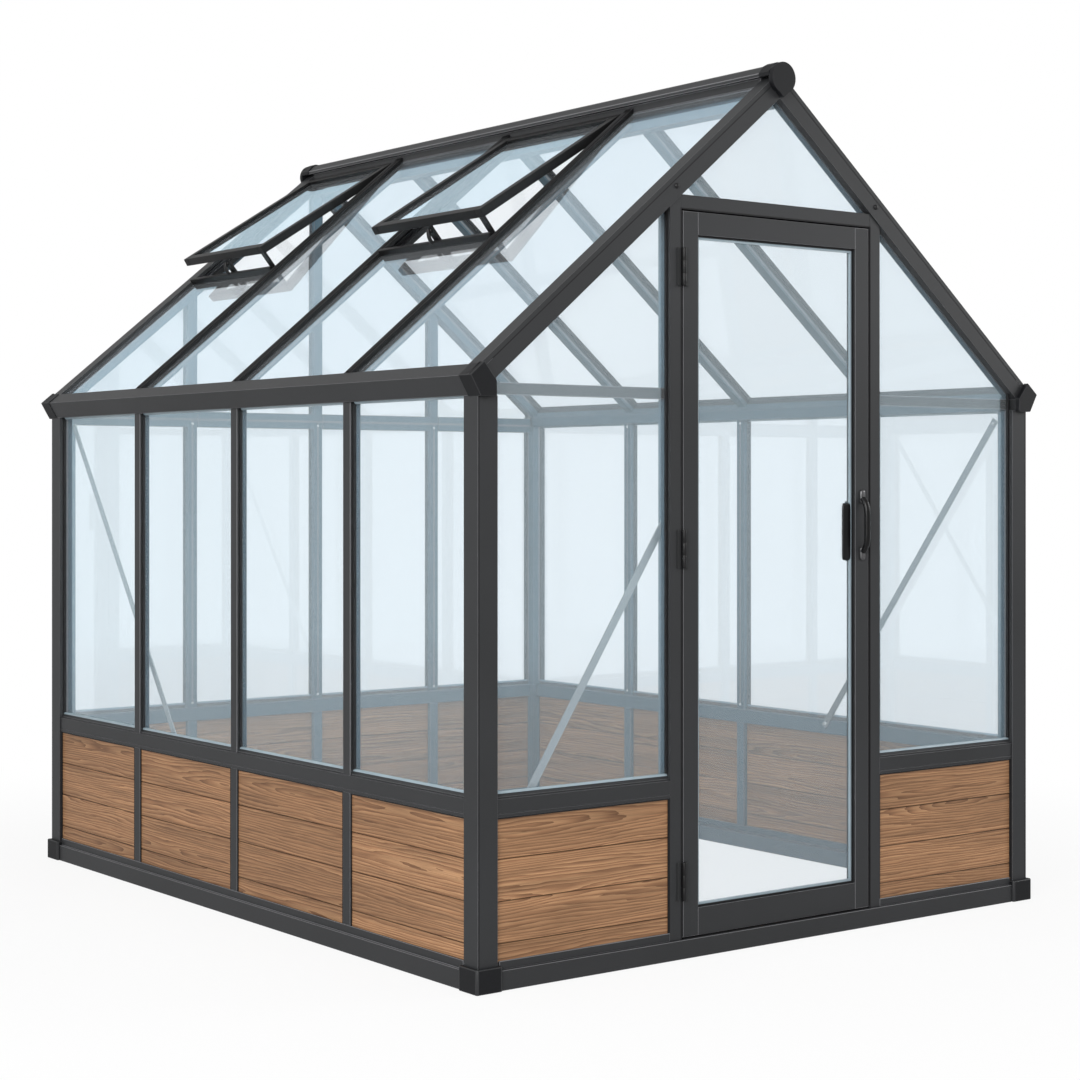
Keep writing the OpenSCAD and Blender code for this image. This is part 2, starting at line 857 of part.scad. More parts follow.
module vent_stiles() {
    color(frame_grey) for (i = vent_bays) {
        y0 = roof_lo(i) + sash_gap;
        y1 = roof_hi(i) - sash_gap;
        on_sash() difference() {
            for (y = [y0, y1 - sash_w]) translate([-vent_len, y, 0]) cube([vent_len, sash_w, sash_d]);
            sash_groove(y0 + sash_w, y1 - sash_w);
        }
    }
}

module vent_rails() {
    color(frame_grey) for (i = vent_bays) {
        y0 = roof_lo(i) + sash_gap + sash_w;
        y1 = roof_hi(i) - sash_gap - sash_w;
        on_sash() difference() {
            for (s = [-vent_len, -sash_w]) translate([s, y0, 0]) cube([sash_w, y1 - y0, sash_d]);
            sash_groove(y0, y1);
        }
    }
}

module vent_glass() {
    color(glass_blue) for (i = vent_bays) {
        y0 = roof_lo(i) + sash_gap + sash_w - 7;
        y1 = roof_hi(i) - sash_gap - sash_w + 7;
        on_sash() translate([-vent_len + sash_w - 7, y0, sash_d / 2 - glass_t / 2])
            cube([vent_len - 2 * sash_w + 14, y1 - y0, glass_t]);
    }
}

// In each vent a cast stay in the middle of the ledge and a prop at the corner near the door gable
module vent_stays() {
    reach = vent_len * tan(vent_angle) + sash_d;
    foot = 6;
    color(cap_black) for (i = vent_bays) {
        mid = (roof_lo(i) + roof_hi(i)) / 2;
        difference() {
            on_left_roof() translate([ledge_at + 8, 0, -curb_top]) {
                translate([0, mid, 0]) rotate([90, 0, 90]) linear_extrude(stay_t)
                    polygon([[-stay_w / 2, 0], [stay_w / 2, 0], [stay_w / 2, foot],
                        [stay_w * 0.35, 2 * foot], [stay_w * 0.28, reach], [-stay_w * 0.28, reach],
                        [-stay_w * 0.35, 2 * foot], [-stay_w / 2, foot]]);
                translate([0, roof_lo(i) + sash_gap + 4, 0]) cube([stay_t, prop, reach]);
            }
            on_sash() translate([-2 * vent_len, -house_l, -seat_gap])
                cube([3 * vent_len, 2 * house_l, house_w]);
        }
    }
}

// Wind braces, flat against the inner faces of the bars and the sill rail

// A strap between two points of a wall, drawn in the plane of X and Y
module strap(p, q) {
    d = q - p;
    translate(p) rotate(atan2(d[1], d[0])) translate([0, -brace_w / 2]) square([norm(d), brace_w]);
}

module wind_braces() {
    low = sill_top - sill_h / 2;
    high = post_top - brace_w - 4;
    far = half_l - post - brace_w;
    near = lines[0] + bay / 3;
    color(metal_grey) {
        translate([-half_w + bar_d, 0, 0]) rotate([90, 0, 90]) linear_extrude(brace_t)
            strap([far, high], [-near, low]);
        translate([half_w - bar_d - brace_t, 0, 0]) rotate([90, 0, 90]) linear_extrude(brace_t)
            strap([-far, high], [near, low]);
        front_sheet(bar_d, brace_t) intersection() {
            strap([-half_w + post + 110, low], [-jamb_out + 40, 1190]);
            translate([-half_w + post, 0]) square([half_w - post - jamb_out, post_top]);
        }
    }
}

// Door

// A hinge plate beside the barrel, with its knuckles; side -1 lies on the jamb, 1 on the leaf
module hinge_leaf(side, z, knuckles) {
    free = barrel_d / 2 + 1;
    face = -half_l + jamb_set - plate_t;
    translate([side < 0 ? hinge_x - free - plate_w : hinge_x + free, face, z - hinge_h / 2])
        cube([plate_w, plate_t, hinge_h]);
    for (k = knuckles) {
        translate([hinge_x, -half_l + hinge_set, z + k[0]]) cylinder(d = barrel_d, h = k[1] - k[0]);
        translate([side < 0 ? hinge_x - free - 1 : hinge_x, face, z + k[0]])
            cube([free + 1, plate_t, k[1] - k[0]]);
    }
}

module frame_hinges() {
    k = knuckle / 2;
    color(cap_black) for (z = hinge_heights) {
        hinge_leaf(-1, z, [[-hinge_h / 2, -k], [k, hinge_h / 2]]);
        translate([hinge_x, -half_l + hinge_set, z - hinge_h / 2]) cylinder(d = pin_d, h = hinge_h);
    }
}

module door_hinges() {
    k = knuckle / 2 - hinge_gap;
    color(cap_black) for (z = hinge_heights)
        difference() {
            hinge_leaf(1, z, [[-k, k]]);
            translate([hinge_x, -half_l + hinge_set, z - hinge_h])
                cylinder(d = pin_d + 2 * pin_gap, h = 2 * hinge_h);
        }
}

// The slot round the door's glass, in the middle of the leaf
module leaf_slot() {
    x = door_w / 2 - stile_w + groove;
    y = -half_l + jamb_set + leaf_t / 2 - glass_t / 2 - seat_gap;
    translate([-x, y, leaf_lo + bottom_rail_h - groove])
        cube([2 * x, glass_t + 2 * seat_gap, leaf_hi - top_rail_h - leaf_lo - bottom_rail_h + 2 * groove]);
}

module door_stiles() {
    color(frame_grey) both_sides() difference() {
        front_upright(-door_w / 2, leaf_lo, leaf_hi) difference() {
            translate([jamb_set, 0]) square([leaf_t, stile_w]);
            translate([jamb_set + wall, wall]) square([leaf_t - 2 * wall, stile_w - groove - 2 * wall]);
        }
        leaf_slot();
    }
}

module door_rails() {
    x = door_w / 2 - stile_w;
    inner = leaf_t - 2 * wall;
    color(frame_grey) difference() {
        union() {
            front_run(-x, x) difference() {
                translate([jamb_set, leaf_lo]) square([leaf_t, bottom_rail_h]);
                translate([jamb_set + wall, leaf_lo + wall])
                    square([inner, bottom_rail_h - groove - 2 * wall]);
            }
            front_run(-x, x) difference() {
                translate([jamb_set, leaf_hi - top_rail_h]) square([leaf_t, top_rail_h]);
                translate([jamb_set + wall, leaf_hi - top_rail_h + groove + wall])
                    square([inner, top_rail_h - groove - 2 * wall]);
            }
        }
        leaf_slot();
    }
}

module door_glass() {
    fit = groove - 1;
    x = door_w / 2 - stile_w + fit;
    color(glass_blue)
        translate([-x, -half_l + jamb_set + leaf_t / 2 - glass_t / 2, leaf_lo + bottom_rail_h - fit])
            cube([2 * x, glass_t, leaf_hi - top_rail_h - leaf_lo - bottom_rail_h + 2 * fit]);
}

// The outside pull: an arched grip with a foot at each end
module outside_pull() {
    a = pull_l / 2;
    h = pull_out;
    g = grip_t;
    color(cap_black) translate([handle_x - pull_w / 2, -half_l + jamb_set, handle_z])
        rotate([90, 0, 90]) linear_extrude(pull_w) difference() {
            polygon([[0, -a], [-10, -a], [-h, -a + 28], [-h, a - 28], [-10, a], [0, a]]);
            polygon([[1, g - a + 18], [1 - 6, g - a + 18], [g - h, g - a + 34], [g - h, a - g - 34],
                [1 - 6, a - g - 18], [1, a - g - 18]]);
        }
}

// The inside pull: a closed grip with bevelled ends
module inside_pull() {
    a = inner_pull_l / 2;
    h = inner_pull_out;
    y = -half_l + jamb_set + leaf_t;
    color(cap_black) translate([handle_x - pull_w / 2, y, handle_z - inner_pull_drop])
        rotate([90, 0, 90]) linear_extrude(pull_w)
            polygon([[0, -a], [h - 10, -a], [h, 10 - a], [h, a - 10], [h - 10, a], [0, a]]);
}
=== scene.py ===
# %% [markdown]
# # A greenhouse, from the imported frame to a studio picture
# The solids of the house come from the part's source and are already the right size. This lesson dresses
# them: it gives every section its real finish, lays the boards one by one, adds the seals, cappings, bolts
# and handles that are too fine for the source, and photographs the house in a white studio.

# %% Loading the frame
import json

import bpy
import numpy as np
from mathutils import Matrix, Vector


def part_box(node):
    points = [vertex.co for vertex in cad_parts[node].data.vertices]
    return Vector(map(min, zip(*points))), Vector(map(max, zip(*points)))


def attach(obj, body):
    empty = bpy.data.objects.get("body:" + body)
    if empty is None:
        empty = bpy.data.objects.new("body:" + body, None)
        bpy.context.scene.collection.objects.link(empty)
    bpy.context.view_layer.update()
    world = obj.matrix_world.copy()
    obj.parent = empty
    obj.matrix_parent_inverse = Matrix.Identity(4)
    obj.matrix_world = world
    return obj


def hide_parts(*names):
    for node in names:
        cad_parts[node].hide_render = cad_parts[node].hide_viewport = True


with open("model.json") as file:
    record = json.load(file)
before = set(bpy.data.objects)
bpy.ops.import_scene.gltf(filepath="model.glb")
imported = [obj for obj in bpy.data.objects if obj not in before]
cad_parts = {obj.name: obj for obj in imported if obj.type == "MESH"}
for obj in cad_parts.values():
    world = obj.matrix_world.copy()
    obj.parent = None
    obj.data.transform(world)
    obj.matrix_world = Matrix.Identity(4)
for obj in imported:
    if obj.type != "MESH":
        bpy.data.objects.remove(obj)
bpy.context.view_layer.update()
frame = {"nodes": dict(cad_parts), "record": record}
nodes = frame["nodes"]
scene = bpy.context.scene

# %% [markdown]
# ## Sizes read from the solids
# The new pieces have to meet the solids, so most of their places are read from the solids' boxes and not
# typed in again. The roof is given by three numbers, because a box can't tell a slope. The house stands
# with its middle at the origin, so half sizes are enough. Depths are counted inwards from the posts' outer
# faces.


# %% Driving sizes
def box(node):
    """Lowest and highest corner of a solid at rest, in metres, rounded to a hundredth of a millimetre."""
    return np.array(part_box(node), float).round(5)


HALF_W, HALF_L, EAVE_FOOT = box("corner_posts")[1]
SILL_UNDER, SILL_BEAD = box("side_sill_rails")[:, 2]
POST = HALF_L - box("side_sill_rails")[1, 1]
BAR = 2 * box("side_wall_bars")[1, 1] - HALF_L
RUN = box("eave_beams")[1, 0]
EAVE, PITCH, RAFTER = 1.512, np.radians(39.5), 0.056


def below_slope(x, depth):
    """Height, at x from the middle, of a line so deep below the roof's upper face, measured square to it."""
    return EAVE + (RUN - np.abs(x)) * np.tan(PITCH) - depth / np.cos(PITCH)


print("half width", HALF_W, "half length", HALF_L, "ridge line at", round(float(below_slope(0, 0)), 3))

# %% [markdown]
# ## The camera
# The photograph has upright verticals, so the camera stands level, as an architect's does, and a small
# shift moves the picture down instead of tilting the lens. The numbers come from lining up the feet, the
# eaves, the ridge and the door with the photograph.

# %% A level camera
LENS_MM, SENSOR_MM, SHIFT = 72.55, 36.0, -0.0542
CAMERA_AT = (-4.0981, -5.5407, 1.2525)
TURN_DEG = 37.19
lens = bpy.data.cameras.new("level_camera")
lens.lens = LENS_MM
lens.sensor_width = SENSOR_MM
lens.shift_y = SHIFT
camera = bpy.data.objects.new("level_camera", lens)
camera.location = CAMERA_AT
camera.rotation_euler = (np.pi / 2, 0.0, -np.radians(TURN_DEG))
scene.collection.objects.link(camera)
scene.camera = camera
scene.view_settings.view_transform = "Standard"
print("camera at", CAMERA_AT, "turned", TURN_DEG, "degrees")

# %% [markdown]
# ## Small tools for materials
# A node tree is easier to read when each node is one line, so a single function adds a node, sets its
# values and links it. Colours are written as the hex values a painter would give and turned to linear light
# once. Many finishes here differ only in their tones, their grain and their gloss, so they share one
# recipe.


# %% Colour and node helpers
def linear(code):
    """An sRGB hex colour as linear RGBA: each channel through the sRGB curve."""
    rgb = np.array([int(code[i:i + 2], 16) for i in (1, 3, 5)]) / 255
    return (*np.where(rgb <= 0.04045, rgb / 12.92, ((rgb + 0.055) / 1.055) ** 2.4).tolist(), 1.0)


def put(tree, kind, values=None, links=None, **settings):
    """Adds a shader node: settings are its properties, values its unlinked inputs, links its linked ones."""
    node = tree.nodes.new("ShaderNode" + kind)
    for name, value in settings.items():
        setattr(node, name, value)
    for name, value in (values or {}).items():
        node.inputs[name].default_value = value
    for name, source in (links or {}).items():
        tree.links.new(source, node.inputs[name])
    return node


def blank(name, sockets):
    """A new material: its tree, its Principled shader with the given constants, its object coordinates."""
    material = bpy.data.materials.new(name)
    material.use_nodes = True
    tree = material.node_tree
    tree.nodes.clear()
    skin = put(tree, "BsdfPrincipled", sockets)
    put(tree, "OutputMaterial", links={"Surface": skin.outputs[0]})
    where = put(tree, "TexCoord").outputs["Object"]
    return material, tree, skin, where


def mottled(name, sockets, grain, detail, tones, gloss=None, relief=None):
    """A material that wavers between two tones in patches as wide as the grain, in metres.

    The grain also sways the roughness between the two values of gloss, and relief is its strength and depth.
    """
    material, tree, skin, where = blank(name, sockets)
    noise = put(tree, "TexNoise", {"Scale": 1 / grain, "Detail": detail}, {"Vector": where})
    patch = noise.outputs["Fac"]
    dark, light = (linear(code) for code in tones)
    tone = put(tree, "Mix", {"A": dark, "B": light}, {"Factor": patch}, data_type="RGBA")
    tree.links.new(tone.outputs["Result"], skin.inputs["Base Color"])
    if gloss:
        sway = put(tree, "MapRange", {"To Min": gloss[0], "To Max": gloss[1]}, {"Value": patch})
        tree.links.new(sway.outputs["Result"], skin.inputs["Roughness"])
    if relief:
        bump = put(tree, "Bump", {"Strength": relief[0], "Distance": relief[1]}, {"Height": patch})
        tree.links.new(bump.outputs["Normal"], skin.inputs["Normal"])
    print(name, "with a grain of", round(grain * 1000, 1), "mm")
    return material


print("charcoal #272829 is", np.round(linear("#272829")[:3], 4).tolist(), "in linear light")

# %% [markdown]
# ## Powder-coated aluminium
# The frame is extruded aluminium with a baked charcoal powder coat. The powder melts into a satin skin with
# a faint orange peel, which breaks up reflections. The peel of the real coat is about 1.5 mm across and too
# fine for this distance, so it is drawn at 8 mm. A slow change of tone keeps long sections from looking
# printed. The roof bars and the vents have a blacker coat, which is painted shade. Most edges have a lighter,
# glossier coat, a painted highlight: that thin line of light is what makes the sections look crisp. Behind
# the glass the coat is painted a paler blue grey, the glass's veil painted into the coat; what lies there is
# told by its depth below the outer faces of the house. The door's leaf and the ties beside it keep one tone.

# %% Powder coats
PEEL, PEEL_DEPTH, PATCH, SWAY = 0.008, 0.0004, 0.45, 0.03
BEHIND, FADE = 0.027, 0.003
# The blacker tones are painted shade for the roof bars and the vents; the charcoal is the coat's own tone.
CHARCOAL, SHADED_BLACK = ("#272829", "#343537"), ("#0f0f10", "#171718")


def behind_glass(tree, where):
    """A mask that turns from 0 to 1 where the least depth behind walls, gables and roof passes the glass."""
    place = put(tree, "SeparateXYZ", links={"Vector": where}).outputs
    x = put(tree, "Math", links={0: place["X"]}, operation="ABSOLUTE").outputs[0]
    y = put(tree, "Math", links={0: place["Y"]}, operation="ABSOLUTE").outputs[0]
    side = put(tree, "Math", {0: HALF_W}, {1: x}, operation="SUBTRACT").outputs[0]
    gable = put(tree, "Math", {0: HALF_L}, {1: y}, operation="SUBTRACT").outputs[0]
    fall = {1: -np.tan(PITCH), 2: below_slope(0, 0)}
    slope = put(tree, "Math", fall, {0: x}, operation="MULTIPLY_ADD").outputs[0]
    roof = put(tree, "Math", links={0: slope, 1: place["Z"]}, operation="SUBTRACT").outputs[0]
    roof = put(tree, "Math", {1: np.cos(PITCH)}, {0: roof}, operation="MULTIPLY").outputs[0]
    wall = put(tree, "Math", links={0: side, 1: gable}, operation="MINIMUM").outputs[0]
    deep = put(tree, "Math", links={0: wall, 1: roof}, operation="MINIMUM").outputs[0]
    edges = {"From Min": BEHIND, "From Max": BEHIND + FADE}
    return put(tree, "MapRange", edges, {"Value": deep}).outputs["Result"]


def powder(name, tones, satin=0.43, shine=0.28, inner=None):
    """A powder coat between two tones, with a roughness around the given satin and a given strength of shine.

    Where an inner tone is given, the coat has it behind the glass: the glass's pale veil, painted into the
    coat.
    """
    coat, tree, skin, where = blank(name, {"IOR": 1.5, "Specular IOR Level": shine})
    slow = put(tree, "TexNoise", {"Scale": 1 / PATCH, "Detail": 3.0}, {"Vector": where})
    dark, light = (linear(code) for code in tones)
    tone = put(tree, "Mix", {"A": dark, "B": light}, {"Factor": slow.outputs["Fac"]}, data_type="RGBA")
    if inner:
        mix = {"Factor": behind_glass(tree, where), "A": tone.outputs["Result"]}
        tone = put(tree, "Mix", {"B": linear(inner)}, mix, data_type="RGBA")
    tree.links.new(tone.outputs["Result"], skin.inputs["Base Color"])
    peel = put(tree, "TexNoise", {"Scale": 1 / PEEL, "Detail": 1.0}, {"Vector": where})
    peel = peel.outputs["Fac"]
    gloss = put(tree, "MapRange", {"To Min": satin - SWAY, "To Max": satin + SWAY}, {"Value": peel})
    tree.links.new(gloss.outputs["Result"], skin.inputs["Roughness"])
    relief = put(tree, "Bump", {"Strength": 0.05, "Distance": PEEL_DEPTH}, {"Height": peel})
    tree.links.new(relief.outputs["Normal"], skin.inputs["Normal"])
    print(name, "with a peel of", PEEL * 1000, "mm")
    return coat


# Behind the glass the coats take a paler blue grey: the glass's veil, painted into the coat.
powder_coat = powder("powder_coated_aluminium", CHARCOAL, inner="#475b66")
shaded_bar_coat = powder("shaded_black_bars", SHADED_BLACK, inner="#43565f")
plain_coat = powder("powder_coat_without_painted_veil", CHARCOAL)
shaded_black_coat = powder("shaded_black_powder_coat", SHADED_BLACK)
# A lighter, glossier coat for edges and bolt channels: a painted highlight.
highlight_coat = powder("painted_highlight_coat", ("#626265", "#727275"), satin=0.33, shine=0.5)

# %% [markdown]
# ## Moulded nylon and painted castings
# Feet and end caps are glass-filled nylon from a spark-eroded mould: black, matt, with a fine grain. The
# grain is about 0.5 mm on the real part and is drawn at 4 mm. The handles come from a polished mould and
# are deeper and glossier, because hands keep them so. The vent stays are sand-cast and painted black. Paint
# fills the finest hollows of the sand, whose grains of 1 mm are drawn at 6 mm, so the skin is a little
# smoother and glossier than the nylon beside it.

# %% Moulded nylon and painted castings
GRAIN, SAND = 0.004, 0.006
moulded_nylon = mottled("moulded_black_nylon", {"Roughness": 0.5, "Specular IOR Level": 0.22}, GRAIN, 2.0,
                        ("#0e0f11", "#18191c"), relief=(0.2, 0.0003))
polished_nylon = mottled("polished_black_nylon", {"Roughness": 0.32, "Specular IOR Level": 0.3}, GRAIN, 2.0,
                         ("#040405", "#09090a"), relief=(0.2, 0.0003))
painted_casting = mottled("black_painted_casting", {"Roughness": 0.36, "Specular IOR Level": 0.35}, SAND, 3.0,
                          ("#131314", "#1d1d1e"), relief=(0.2, 0.0004))

# %% [markdown]
# ## Hinges
# A hinge's leaves are coated together with the jamb and the stile that they are screwed to, and only its
# barrel is black. Both are one solid, so the finish changes with the distance from the hinge axis: black up
# to just past the barrel's radius.

# %% Hinge finish
barrel = np.array([box("door_hinges")[0, 0], box("frame_hinges")[1, 0]])
HINGE_X, BARREL, BLUR = barrel.mean(), 1.1 * np.ptp(barrel) / 2, 0.0006
hinge_coat, tree, skin, where = blank("coated_hinge_with_black_barrel",
                                      {"Roughness": 0.4, "Specular IOR Level": 0.3})
place = put(tree, "SeparateXYZ", links={"Vector": where})
aside = put(tree, "Math", {1: HINGE_X}, {0: place.outputs["X"]}, operation="SUBTRACT")
aside = put(tree, "Math", links={0: aside.outputs[0]}, operation="ABSOLUTE")
leaf = put(tree, "MapRange", {"From Min": BARREL, "From Max": BARREL + BLUR}, {"Value": aside.outputs[0]})
tone = put(tree, "Mix", {"A": linear("#121213"), "B": linear("#2a2b2c")},
           {"Factor": leaf.outputs["Result"]}, data_type="RGBA")
tree.links.new(tone.outputs["Result"], skin.inputs["Base Color"])
sand = put(tree, "TexNoise", {"Scale": 1 / SAND, "Detail": 3.0}, {"Vector": where})
relief = put(tree, "Bump", {"Strength": 0.15, "Distance": 0.0004}, {"Height": sand.outputs["Fac"]})
tree.links.new(relief.outputs["Normal"], skin.inputs["Normal"])
print(hinge_coat.name, "with its axis at x", round(HINGE_X, 4))

# %% [markdown]
# ## Bare metals
# The wind braces are aluminium as it comes from the mill, the bolts are stainless steel, and the ends of
# the door pull are darkened to gunmetal. Rolling and turning leave fine marks about 0.2 mm apart, drawn
# here at 3 to 4 mm, so the metal shines softly and not like a mirror.

# %% Bare metals
ROLLED, TURNED, BARE = 0.004, 0.003, {"Metallic": 1.0}
mill_aluminium = mottled("mill_finish_aluminium", BARE, ROLLED, 2.0, ("#8b9397", "#a6adb0"), (0.34, 0.5))
stainless = mottled("stainless_steel", BARE, TURNED, 2.0, ("#b9bcbe", "#d3d5d6"), (0.22, 0.36))
gunmetal = mottled("satin_gunmetal", BARE, ROLLED, 2.0, ("#5c5c5d", "#787879"), (0.26, 0.4))

# %% [markdown]
# ## Float glass
# The panes are 4 mm float glass. Iron in the melt gives it a pale blue cast, the sky is mirrored in it, and
# a thin film of dust lifts everything dark behind it, so the far side of the house looks paler than the
# near one. The share that isn't transmitted is that film. Panes of walls and door mirror more than plain
# glass does, as if coated against heat, so their index is higher than the roof's. The far slope is
# clearest, with no dark room mirrored in it, so its index is the lowest. A glass shader bends and mirrors
# light; where lamps shine through it a clear shader takes its place, so that the room behind the pane is
# lit.

# %% Float glass
FILM = 0.038
CLEAR = {"Base Color": linear("#f3f7fa"), "Roughness": 0.0, "Transmission Weight": 1 - FILM}


def pane(name, index):
    """A clear pane with the given index of refraction, which lets the light of lamps through unbent."""
    glass, tree, skin, where = blank(name, CLEAR | {"IOR": index})
    lamp_side = put(tree, "BsdfTransparent", {"Color": linear("#f5fafc")})
    ray = put(tree, "LightPath")
    both = put(tree, "MixShader", links={"Fac": ray.outputs["Is Shadow Ray"]})
    tree.links.new(skin.outputs[0], both.inputs[1])
    tree.links.new(lamp_side.outputs[0], both.inputs[2])
    tree.links.new(both.outputs[0], tree.nodes["Material Output"].inputs["Surface"])
    print(name, "with an index of", index)
    return glass


coated_glass = pane("coated_float_glass", 1.85)
float_glass = pane("float_glass", 1.45)
clear_glass = pane("anti_glare_float_glass", 1.22)

# %% [markdown]
# ## Seals
# The roof bars carry a black rubber capping, and a pale silicone wiper closes the joint at the foot and the
# head of each wall pane. Rubber is dull and picks up dust in patches some 50 mm wide; silicone is milky, in
# clouds of 80 mm, and slightly shiny.

# %% Rubber and silicone
DUST, CLOUD = 0.05, 0.08
rubber = mottled("black_glazing_rubber", {"Roughness": 0.62, "Specular IOR Level": 0.3}, DUST, 4.0,
                 ("#101011", "#1e1e20"))
silicone = mottled("milky_silicone", {"Roughness": 0.3}, CLOUD, 3.0, ("#80919a", "#a3b3bb"))

# %% [markdown]
# ## Stained boards
# Below the sill the house is boarded with flat-sawn timber, stained a warm mid brown. A flat-sawn board
# cuts the trunk's rings almost along their tangent, so rings show as nested arches in the middle and lines
# at the edges. The pattern is made the same way: a board's own map holds metres along it and metres from
# the pith, the depth of the cut below the surface wanders along the board, and the distance from the pith,
# divided by the ring spacing, gives the rings. Real rings are about 3 mm wide and are drawn at 8 mm, to
# show at this distance.

# %% Stained timber
RING, CUT, SWING = 0.008, 0.045, 0.05
CUT_WAVES, DRIFT_WAVES = (0.9, 0.4, 1.0), (1.5, 17.0, 1.0)  # per metre along and across the board
stained_timber, tree, skin, where = blank("stained_softwood", {"Specular IOR Level": 0.3})
board_map = put(tree, "UVMap", uv_map="board_map").outputs["UV"]
metres = put(tree, "SeparateXYZ", links={"Vector": board_map})
cut = put(tree, "Mapping", {"Scale": CUT_WAVES}, {"Vector": board_map})
cut = put(tree, "TexNoise", {"Scale": 1.0, "Detail": 1.0}, {"Vector": cut.outputs[0]})
cut = put(tree, "MapRange", {"From Min": 0.25, "From Max": 0.75, "To Min": -CUT, "To Max": CUT},
          {"Value": cut.outputs["Fac"]})
pith = put(tree, "CombineXYZ", links={"X": metres.outputs["Y"], "Y": cut.outputs[0]})
radius = put(tree, "VectorMath", links={0: pith.outputs[0]}, operation="LENGTH")
drift = put(tree, "Mapping", {"Scale": DRIFT_WAVES}, {"Vector": board_map})
drift = put(tree, "TexNoise", {"Scale": 1.0, "Detail": 4.0}, {"Vector": drift.outputs[0]})
drift = put(tree, "Math", {1: SWING}, {0: drift.outputs["Fac"]}, operation="MULTIPLY")
rings = put(tree, "Math", links={0: radius.outputs["Value"], 1: drift.outputs[0]}, operation="ADD")
rings = put(tree, "Math", {1: RING}, {0: rings.outputs[0]}, operation="DIVIDE")
rings = put(tree, "Math", links={0: rings.outputs[0]}, operation="FRACT")
late = put(tree, "Math", {1: 1.4}, {0: rings.outputs[0]}, operation="POWER")
stain = put(tree, "ValToRGB", links={"Fac": late.outputs[0]})
stain.color_ramp.elements[0].color = linear("#ab835f")
stain.color_ramp.elements[1].color = linear("#755239")
stain.color_ramp.elements.new(0.45).color = linear("#976f4f")
print(stained_timber.name, "with rings of", RING * 1000, "mm")

# %% [markdown]
# Fine fibres run along the board between the rings, broader bands take up more or less stain, and each
# board is a little lighter or darker than the next. The fibres are about 1 mm wide and are drawn at 3 mm.
# The tone of a board is a number kept on its points, and it falls off in the vee between two boards.

# %% Fibres and the tone of each board
FIBRE_WAVES, BAND_WAVES = (5.0, 330.0, 1.0), (1.5, 36.0, 1.0)
MIDDLE = {"From Min": 0.3, "From Max": 0.7}
fibre = put(tree, "Mapping", {"Scale": FIBRE_WAVES}, {"Vector": board_map})
fibre = put(tree, "TexNoise", {"Scale": 1.0, "Detail": 4.0, "Roughness": 0.65},
            {"Vector": fibre.outputs[0]}).outputs["Fac"]
streak = put(tree, "MapRange", MIDDLE | {"To Min": 0.64, "To Max": 1.26}, {"Value": fibre})
band = put(tree, "Mapping", {"Scale": BAND_WAVES}, {"Vector": board_map})
band = put(tree, "TexNoise", {"Scale": 1.0, "Detail": 2.0}, {"Vector": band.outputs[0]})
band = put(tree, "MapRange", MIDDLE | {"To Min": 0.78, "To Max": 1.18}, {"Value": band.outputs["Fac"]})
board_tone = put(tree, "Attribute", attribute_name="board_tone")
for share in (band.outputs[0], board_tone.outputs["Fac"]):
    streak = put(tree, "Math", links={0: streak.outputs[0], 1: share}, operation="MULTIPLY")
brown = put(tree, "VectorMath", links={0: stain.outputs["Color"], "Scale": streak.outputs[0]},
            operation="SCALE")
tree.links.new(brown.outputs[0], skin.inputs["Base Color"])
gloss = put(tree, "MapRange", {"To Min": 0.42, "To Max": 0.6}, {"Value": fibre})
tree.links.new(gloss.outputs[0], skin.inputs["Roughness"])
relief = put(tree, "Bump", {"Strength": 0.25, "Distance": 0.0006}, {"Height": fibre})
tree.links.new(relief.outputs["Normal"], skin.inputs["Normal"])
print("fibres of", round(1000 / FIBRE_WAVES[1]), "mm on", stained_timber.name)

# %% [markdown]
# ## Finishes onto the solids, and softened edges
# Each solid takes the finish that its record names, apart from a few that have one of their own. An
# extrusion's edges are never razor sharp: the die leaves a radius of about a millimetre, and moulded caps
# have more. A weld joins the loose triangles, a planar dissolve makes whole faces again, and a bevel rounds
# the edges, so light catches them and every joint shows as a line.

# %% Finishes and edges
FINISH = {"frame": powder_coat, "caps": moulded_nylon, "handles": polished_nylon, "fittings": painted_casting,
          "boards": stained_timber, "glass": coated_glass, "braces": mill_aluminium}
ROOF_BARS = ("left_roof_bars", "right_roof_bars")
VENTS = ("vent_slam_bars", "vent_curb_sides", "vent_stiles", "vent_rails")
OWN_FINISH = [(shaded_bar_coat, ROOF_BARS), (shaded_black_coat, VENTS), (float_glass, ("left_roof_glass", "vent_glass")),
              (clear_glass, ("right_roof_glass",)), (hinge_coat, ("frame_hinges", "door_hinges")),
              (plain_coat, ("front_tie_bars", "door_stiles", "door_rails"))]
special = {node: coat for coat, group in OWN_FINISH for node in group}
EDGE_HIGHLIGHT = {"frame": highlight_coat, "caps": powder_coat}
NO_EDGE_HIGHLIGHT = ROOF_BARS + VENTS + ("door_jambs", "door_header")
EDGE = {"frame": 0.0018, "caps": 0.003, "fittings": 0.0006, "braces": 0.0006}
WELD, FLAT_DEG, SHARP_DEG = 0.00002, 0.5, 25
